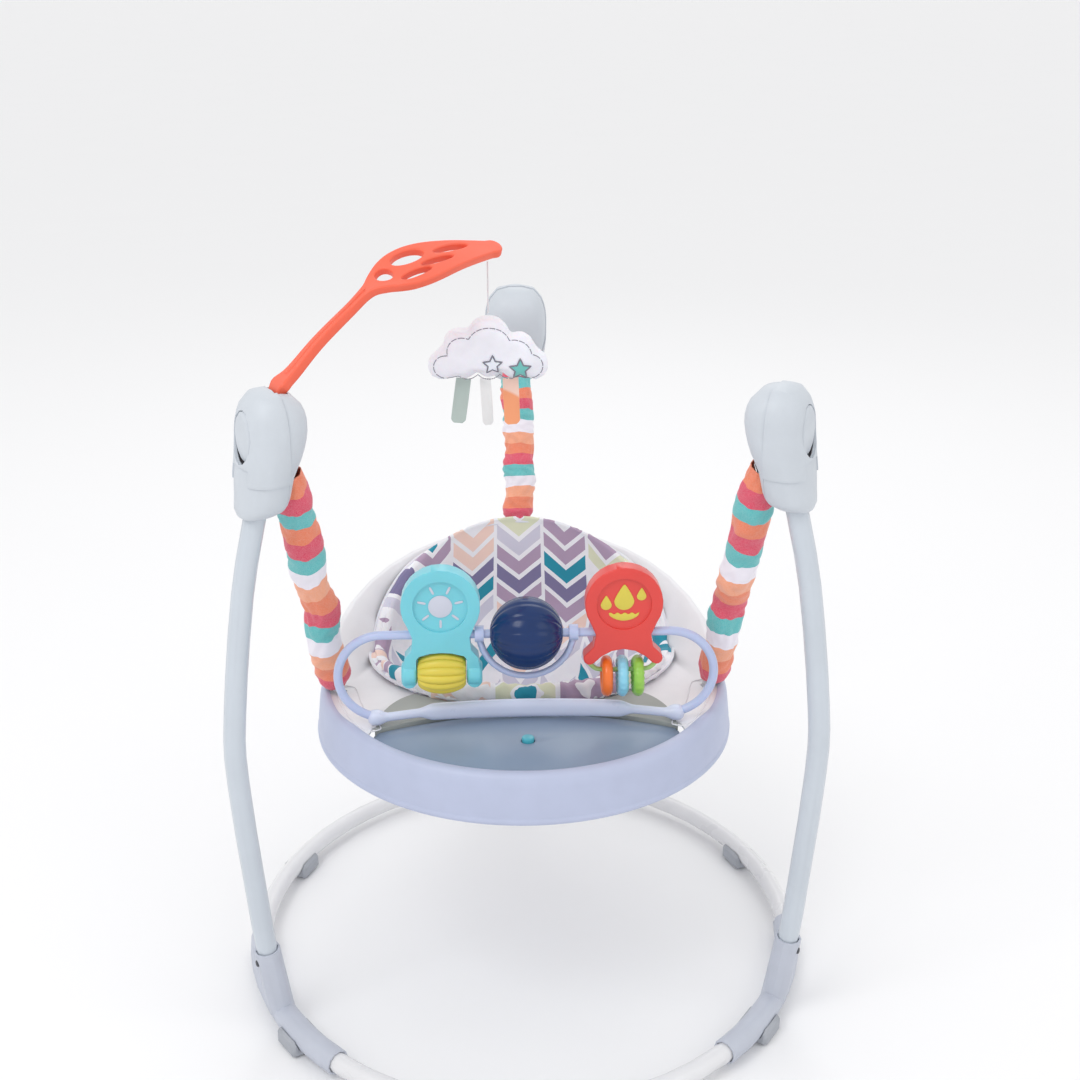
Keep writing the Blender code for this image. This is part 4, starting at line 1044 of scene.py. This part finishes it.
def make_ball():
    """A glossy ball with narrow grooves from pole to pole, which fade out near each pole."""
    deselect()
    bpy.ops.mesh.primitive_uv_sphere_add(segments=128, ring_count=64, radius=BALL_R)
    ball = named("spin_ball_shell")
    for vertex in ball.data.vertices:
        angle = math.atan2(vertex.co.y, vertex.co.x)
        height = vertex.co.z / BALL_R
        girth = math.sqrt(max(0.0, 1.0 - height * height))
        groove = math.exp(-((abs(((angle / (2 * math.pi) * 14) % 1.0) - 0.5)) / 0.12) ** 2)
        vertex.co *= 1.0 - 0.022 * groove * ease((girth - 0.12) / 0.40)
    turn_to_x(ball)
    ball.location = (0.0, TOY_Y, RAIL_Z)
    settle(ball)
    smooth(ball, 60.0)
    put(ball, NAVY, "ball")
    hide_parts("spin_ball")


def make_roller():
    """A barrel with rounded lengthwise ribs."""
    half = 0.0292
    roller = rowed_cylinder("roller_barrel", 168, 28, depth=2.0, ends="TRIFAN")
    for vertex in roller.data.vertices:
        height = vertex.co.z
        radius = math.hypot(vertex.co.x, vertex.co.y)
        angle = math.atan2(vertex.co.y, vertex.co.x)
        bulge = 0.0272 * math.sqrt(1.0 - 0.58 * height ** 2) - 0.0018 * max(0.0, abs(height) - 0.90) / 0.10
        rib = abs(math.sin(angle * 7.0)) ** 0.7
        reach = bulge - 0.0026 * (1.0 - rib) * (1.0 - ease((abs(height) - 0.90) / 0.10))
        if radius > 0.5:
            vertex.co = (reach * math.cos(angle), reach * math.sin(angle), height * half)
        else:
            vertex.co = (0.0, 0.0, height * half)
    turn_to_x(roller)
    roller.location = (SUN_X, TOY_Y, ROLLER_Z)
    settle(roller)
    smooth(roller, 50.0)
    put(roller, YELLOW, "roller_body")
    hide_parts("roller")


def make_hubs():
    """A round hub at the foot of each fork leg, beside the roller."""
    for side, sign in (("left", -1.0), ("right", 1.0)):
        deselect()
        bpy.ops.mesh.primitive_cylinder_add(vertices=56, radius=0.0155, depth=0.0190)
        hub = named(f"roller_hub_{side}")
        turn_to_x(hub)
        hub.location = (SUN_X + sign * 0.0396, TOY_Y, ROLLER_Z - 0.0014)
        settle(hub)
        round_edges(hub, 0.0050, 5, 50.0)
        smooth(hub, 50.0)
        put(hub, TEAL, "sun_paddle_body")


def flat_badge(name, outline, centre, thickness, material, body):
    """A thin raised plate in a paddle's recess, from an outline of (x, z) points about a centre."""
    deselect()
    bpy.ops.mesh.primitive_circle_add(vertices=len(outline), radius=1.0, fill_type="NGON")
    badge = named(name)
    for vertex, (x, z) in zip(badge.data.vertices, outline):
        vertex.co = (centre[0] + x, RECESS_FLOOR_Y - 0.0001, centre[1] + z)
    select_parts(badge, lambda face: True)
    bpy.ops.mesh.extrude_region_move(TRANSFORM_OT_translate={"value": (0, -thickness, 0)})
    face_outwards(badge)
    round_edges(badge, thickness * 0.4, 2, 60.0)
    smooth(badge, 35.0)
    return put(badge, material, body)


def make_sun():
    """A round disc and seven short rays."""
    disc = [(0.0143 * math.cos(math.tau * k / 64), 0.0143 * math.sin(math.tau * k / 64)) for k in range(64)]
    flat_badge("sun_disc", disc, (SUN_X, DISC_Z), 0.0009, SUN_PINK, "sun_paddle_body")
    for index in range(7):
        turn = math.radians(270.0) + math.tau * index / 7
        ray = []
        for k in range(24):
            angle = math.tau * k / 24
            along = 0.0228 + 0.0052 * squared_off(math.cos(angle), 0.6)
            across = 0.0015 * squared_off(math.sin(angle), 0.6)
            ray.append((along * math.cos(turn) - across * math.sin(turn),
                        along * math.sin(turn) + across * math.cos(turn)))
        flat_badge(f"sun_ray_{index}", ray, (SUN_X, DISC_Z), 0.0007, SUN_PINK, "sun_paddle_body")


def drop_outline(half_width, height, count=40):
    """A water drop: round below and drawn to a point above."""
    points = []
    for k in range(count):
        angle = math.tau * k / count
        rise = math.sin(angle)
        narrow = 1.0 - 0.62 * max(0.0, rise) ** 1.1
        points.append((half_width * math.cos(angle) * narrow,
                       (height - half_width if rise > 0 else half_width) * rise))
    return points


def make_rain():
    """Three drops over a shallow pool."""
    drops = ((0.0, 0.0040, 0.0120, 0.0330), (-0.0216, -0.0010, 0.0067, 0.0185),
             (0.0207, 0.0100, 0.0058, 0.0162))
    for index, (x, z, half_width, height) in enumerate(drops):
        flat_badge(f"rain_drop_{index}", drop_outline(half_width, height), (RAIN_X + x, DISC_Z + z), 0.0009,
                   YELLOW, "rain_paddle_body")
    count = 30
    pool = []
    for k in range(count + 1):
        x = -0.0185 + 0.037 * k / count
        pool.append((x, 0.0011 * math.sin(k * 0.9) + 0.0010))
    for k in range(1, count):
        x = 0.0185 - 0.037 * k / count
        pool.append((x, -0.0085 * (1.0 - (x / 0.0185) ** 2) ** 0.8))
    flat_badge("rain_pool", pool, (RAIN_X, DISC_Z - 0.0135), 0.0009, YELLOW, "rain_paddle_body")


def make_bead(name, x, material, knobs):
    deselect()
    bpy.ops.mesh.primitive_torus_add(major_radius=0.0185, minor_radius=0.0060, major_segments=72,
                                     minor_segments=20)
    bead = named(f"bead_{name}_ring")
    for vertex in bead.data.vertices:
        angle = math.atan2(vertex.co.y, vertex.co.x)
        ring = Vector((math.cos(angle), math.sin(angle), 0.0)) * 0.0185
        around = math.atan2(vertex.co.z, math.hypot(vertex.co.x, vertex.co.y) - 0.0185)
        knob = math.sin(angle * 18.0) * math.cos(around * 2.0) if knobs else 0.0
        vertex.co = ring + (vertex.co - ring) * (1.12 + 0.085 * knob)
    turn_to_x(bead)
    bead.location = (x, TOY_Y, BEAD_Z)
    settle(bead)
    smooth(bead, 60.0)
    put(bead, material, f"bead_{name}_body")
    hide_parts(f"bead_{name}")


make_ball()
make_roller()
make_hubs()
make_sun()
make_rain()
for bead_name, spot, bead_finish, bead_slot, bumpy in (("orange", -0.019, ORANGE, "orange_plastic", False),
                                                      ("sky", 0.0, SKY, "sky_plastic", True),
                                                      ("green", 0.019, GREEN, "green_plastic", True)):
    make_bead(bead_name, RAIN_X + spot, bead_finish, bumpy)


# ---------------------------------------------------------------- toy arm
ARM_PATH = ((0.0, 0.806), (0.0, 0.822), (0.0045, 0.836), (0.0225, 0.850), (0.054, 0.879), (0.093, 0.909),
            (0.126, 0.933), (0.170, 0.9485), (0.225, 0.9575), (0.292, 0.959))
ARM_WIDTHS = ((0.0, 0.0125), (0.026, 0.0125), (0.034, 0.0150), (0.048, 0.0110), (0.080, 0.0088),
              (0.140, 0.0078), (0.175, 0.0100), (0.190, 0.0185), (0.208, 0.0270), (0.235, 0.0325),
              (0.260, 0.0315), (0.290, 0.0250), (0.320, 0.0175), (0.340, 0.0125))
LEAF_OPENINGS = ((0.2035, 0.0030, 0.0095, 0.0115), (0.2400, 0.0135, 0.0205, 0.0105),
                 (0.2930, 0.0080, 0.0220, 0.0052), (0.2680, -0.0065, 0.0210, 0.0045),
                 (0.2350, -0.0155, 0.0200, 0.0052))
ARM_START_SHIFT = -0.044
LEAF_START = 0.165
ARM_HALF_THICKNESS = 0.0050
ARM_EDGE = 0.0022


def spline_points(points, per_span):
    """A smooth line through points, with the same number of steps in each span."""
    knots = [2 * points[0] - points[1]] + points + [2 * points[-1] - points[-2]]
    path = []
    for index in range(1, len(knots) - 2):
        before, start, end, after = knots[index - 1:index + 3]
        for step in range(per_span):
            path.append(spline_between(before, start, end, after, step / per_span))
    return path + [knots[-2]]


ARM_EDGE_LINE = spline_points([Vector(pair) for pair in ARM_WIDTHS], 12)


def arm_width(along):
    """Half the arm's width at a distance along it."""
    for low, high in zip(ARM_EDGE_LINE, ARM_EDGE_LINE[1:]):
        if along <= high.x:
            return low.lerp(high, (along - low.x) / (high.x - low.x)).y
    return ARM_EDGE_LINE[-1].y


class ArmLine:
    """The arm's bent centre line, with its sideways and outward directions and the leaf's roll."""

    def __init__(self):
        foot = leg_foot("left")
        outward = foot.normalized()
        self.side = Vector((outward.y, -outward.x, 0.0))
        self.points = spline_points([outward * (foot.length + ARM_START_SHIFT - inward) + Vector((0, 0, z))
                                     + CENTRE for inward, z in ARM_PATH], 16)
        self.travel = [0.0]
        for start, end in zip(self.points, self.points[1:]):
            self.travel.append(self.travel[-1] + (end - start).length)

    def at(self, along, across, out):
        index = next((k for k in range(1, len(self.travel)) if self.travel[k] >= along), len(self.travel) - 1)
        start, end = self.points[index - 1], self.points[index]
        share = (along - self.travel[index - 1]) / (self.travel[index] - self.travel[index - 1])
        after = self.points[min(index + 1, len(self.points) - 1)]
        before = self.points[max(index - 2, 0)]
        forward = (end - before).normalized().lerp((after - start).normalized(), share).normalized()
        up = forward.cross(self.side)
        roll = math.radians(24.0) * ease((along - LEAF_START) / 0.06)
        side = self.side * math.cos(roll) + up * math.sin(roll)
        upward = up * math.cos(roll) - self.side * math.sin(roll)
        return start.lerp(end, share) + side * across + upward * out


def make_arm():
    """The coral arm: a flat leaf with rounded edges and openings, bent along its line."""
    line = ArmLine()
    length = line.travel[-1]
    nose_length = 0.011
    edge = [(length * k / 90, arm_width(length * k / 90)) for k in range(89)]
    edge = [(along, width) for along, width in edge if along < length - nose_length]
    turns = [math.pi / 2 * k / 8 for k in range(9)]
    nose = [(length - nose_length + nose_length * math.sin(turn), arm_width(length) * math.cos(turn))
            for turn in turns]
    outline = edge + nose + [(along, -width) for along, width in reversed(edge + nose[:-1])]
    holes = [[(s + half_s * math.cos(math.tau * k / 40), w + half_w * math.sin(math.tau * k / 40))
              for k in range(40)] for s, w, half_s, half_w in LEAF_OPENINGS]
    curve = bpy.data.curves.new("toy_arm_leaf", "CURVE")
    curve.dimensions = "2D"
    curve.fill_mode = "BOTH"
    curve.extrude = ARM_HALF_THICKNESS - ARM_EDGE
    curve.bevel_depth = ARM_EDGE
    curve.bevel_resolution = 3
    curve.offset = -ARM_EDGE
    for loop in [outline] + holes:
        draw_line(curve, [(along, width, 0.0) for along, width in loop], closed=True)
    pick(add_object("toy_arm_leaf", curve))
    bpy.ops.object.convert(target="MESH")
    arm = named("toy_arm_leaf")
    weld(arm, 0.00002)
    for k in range(1, 70):
        cut_plane(arm, (length * k / 70, 0, 0), (1, 0, 0), threshold=0.000001)
    for vertex in arm.data.vertices:
        stem = 1.0 - ease((vertex.co.x - 0.120) / 0.05)
        thicker = 1.0 + 0.12 * stem
        along = min(max(vertex.co.x, 0.0005), length - 0.0002)
        vertex.co = line.at(along, vertex.co.y, vertex.co.z * thicker)
    weld(arm)
    smooth(arm, 50.0)
    put(arm, CORAL, "frame")
    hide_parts("toy_arm")
    ridge = [line.at(0.046 + 0.130 * k / 40, 0.0, 0.0046) for k in range(41)]
    put(tube("toy_arm_ridge", ridge, 0.0022, sides=3), CORAL, "frame")


make_arm()


# ---------------------------------------------------------------- cloud and ribbons
def lobe_outline(wide, high, count=240):
    """The edge of the joined lobes, drawn in towards a low middle by two shares."""
    middle = Vector((0.0, -0.020))
    points = []
    for index in range(count):
        angle = math.tau * index / count
        ray = Vector((math.cos(angle), math.sin(angle)))
        reach = 0.0
        for x, z, radius in CLOUD_LOBES:
            offset = Vector((x, z)) - middle
            along = offset.dot(ray)
            inside = radius ** 2 - offset.length_squared + along ** 2
            if inside > 0:
                reach = max(reach, along + math.sqrt(inside))
        points.append(middle + Vector((ray.x * reach * wide, ray.y * reach * high)))
    return points


def join(pieces, name):
    deselect()
    for piece in pieces:
        piece.select_set(True)
    bpy.context.view_layer.objects.active = pieces[0]
    bpy.ops.object.join()
    return named(name)


def puff_up(piece, pressure, frames, most):
    """Swell a closed form as stuffing does, with the movement capped."""
    rest = [vertex.co.copy() for vertex in piece.data.vertices]
    cloth = piece.modifiers.new("stuffing", "CLOTH")
    cloth.settings.use_pressure = True
    cloth.settings.uniform_pressure_force = pressure
    cloth.settings.quality = 5
    cloth.settings.mass = 0.2
    cloth.settings.tension_stiffness = 20.0
    cloth.settings.compression_stiffness = 20.0
    cloth.settings.bending_stiffness = 0.5
    cloth.settings.effector_weights.gravity = 0.0
    cloth.point_cache.frame_start = 1
    cloth.point_cache.frame_end = frames
    scene = bpy.context.scene
    for number in range(1, frames + 1):
        scene.frame_set(number)
    pick(piece)
    bpy.ops.object.modifier_apply(modifier=cloth.name)
    scene.frame_set(1)
    for vertex, start in zip(piece.data.vertices, rest):
        move = vertex.co - start
        if move.length > most:
            vertex.co = start + move.normalized() * most


def front_of(cloud, x, z, lift):
    """The point on the cloud's front at an offset from its middle."""
    start = CLOUD + Vector((x, -0.1, z))
    hit, point, _, _ = cloud.ray_cast(start, Vector((0, 1, 0)))
    if not hit:
        point = CLOUD + Vector((x, -CLOUD_HALF_THICKNESS * 0.8, z))
    return point - Vector((0, lift, 0))


def make_cloud():
    cloud = node_copy("cloud", "cloud_plush")
    modify(cloud, "REMESH", mode="VOXEL", voxel_size=0.0032)
    for vertex in cloud.data.vertices:
        vertex.co = CLOUD + (vertex.co - CLOUD) * 0.975
    puff_up(cloud, 4.0, 18, 0.006)
    modify(cloud, "SMOOTH", factor=0.5, iterations=4)
    modify(cloud, "SUBSURF", levels=1, render_levels=1)
    smooth(cloud, 80.0)
    put(cloud, PLUSH, "cloud_body")
    outline = lobe_outline(0.855, 0.77)
    dash, step = 5, 6
    stitches = []
    for index in range(0, len(outline), step):
        points = [front_of(cloud, *outline[(index + k) % len(outline)], 0.0001) for k in range(dash + 1)]
        stitches.append(tube(f"stitch_{index}", points, 0.00055, sides=1))
    put(join(stitches, "cloud_stitching"), STITCH, "cloud_body")
    for name, x, z, reach, material in (("white", 0.0044, -0.0176, 0.0118, PLUSH),
                                        ("teal", 0.0371, -0.0235, 0.0135, STAR_TEAL)):
        make_star(cloud, name, x, z, reach, material)
    return cloud


def make_star(cloud, name, x, z, reach, material):
    """A sewn star: a soft patch with a thick stitched edge."""
    corners = []
    for k in range(10):
        angle = math.pi / 2 + math.tau * k / 10
        radius = reach if k % 2 == 0 else reach * 0.47
        corners.append(Vector((x + radius * math.cos(angle), z + radius * math.sin(angle))))
    deselect()
    bpy.ops.mesh.primitive_circle_add(vertices=10, radius=1.0, fill_type="TRIFAN")
    patch = named(f"star_{name}_patch")
    rim = iter(corners)
    for vertex in patch.data.vertices:
        vertex.co = (x, z, 0.0) if vertex.co.length < 0.5 else (*next(rim), 0.0)
    modify(patch, "SUBSURF", levels=3, render_levels=3, subdivision_type="SIMPLE")
    for vertex in patch.data.vertices:
        vertex.co = front_of(cloud, vertex.co.x, vertex.co.y, 0.0004)
    modify(patch, "SOLIDIFY", thickness=0.0006, offset=0.0)
    smooth(patch, 60.0)
    put(patch, material, "cloud_body")
    edge = []
    for first, last in zip(corners, corners[1:] + corners[:1]):
        edge += [front_of(cloud, *first.lerp(last, k / 5), 0.0005) for k in range(5)]
    put(tube(f"star_{name}_edge", edge, 0.00095, closed=True, sides=2), STITCH, "cloud_body")


RIBBON_TUCK = 0.006      # the part of each ribbon that is sewn into the cloud's seam


def make_ribbon(name, width, length, tilt, material, curl):
    """A ribbon that hangs from the cloud's lower seam, a little curled and twisted, with a rounded end."""
    low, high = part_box(f"ribbon_{name}")
    middle = (low + high) / 2
    turn = Matrix.Rotation(math.radians(-tilt), 4, "Y")
    deselect()
    bpy.ops.mesh.primitive_grid_add(x_subdivisions=12, y_subdivisions=40, size=1.0)
    ribbon = named(f"ribbon_{name}_cloth")
    for vertex in ribbon.data.vertices:
        x, t = vertex.co.x, 0.5 - vertex.co.y
        corner = max(0.0, t - 0.90) / 0.10
        across = x * width * (1.0 - 0.45 * corner ** 2)
        bend = curl * math.sin(math.pi * 1.1 * t) + 0.0022 * math.sin(6.0 * t + 2.0) * x
        cup = -0.0022 * (x * 2.0) ** 2 * math.sin(math.pi * t)
        rise = RIBBON_TUCK * (1.0 - t)
        vertex.co = middle + turn @ Vector((across, bend + cup, length * (0.5 - t) + rise))
    modify(ribbon, "SOLIDIFY", thickness=0.0007, offset=0.0)
    smooth(ribbon, 60.0)
    put(ribbon, material, "cloud_body")
    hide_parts(f"ribbon_{name}")


make_cloud()
make_ribbon("grey", 0.018, 0.050, -8.0, ribbon_cloth("ribbon_grey", (0.72, 0.80, 0.80), (0.44, 0.52, 0.49),
                                                   CLOUD.z - 0.066), 0.003)
make_ribbon("white", 0.013, 0.053, 3.0, ribbon_cloth("ribbon_white", (0.88, 0.88, 0.88), (0.78, 0.78, 0.78),
                                                    CLOUD.z - 0.064), -0.002)
make_ribbon("peach", 0.019, 0.052, 2.0, ribbon_cloth("ribbon_peach", (0.90, 0.62, 0.52), (0.88, 0.34, 0.16),
                                                    CLOUD.z - 0.064), 0.002)
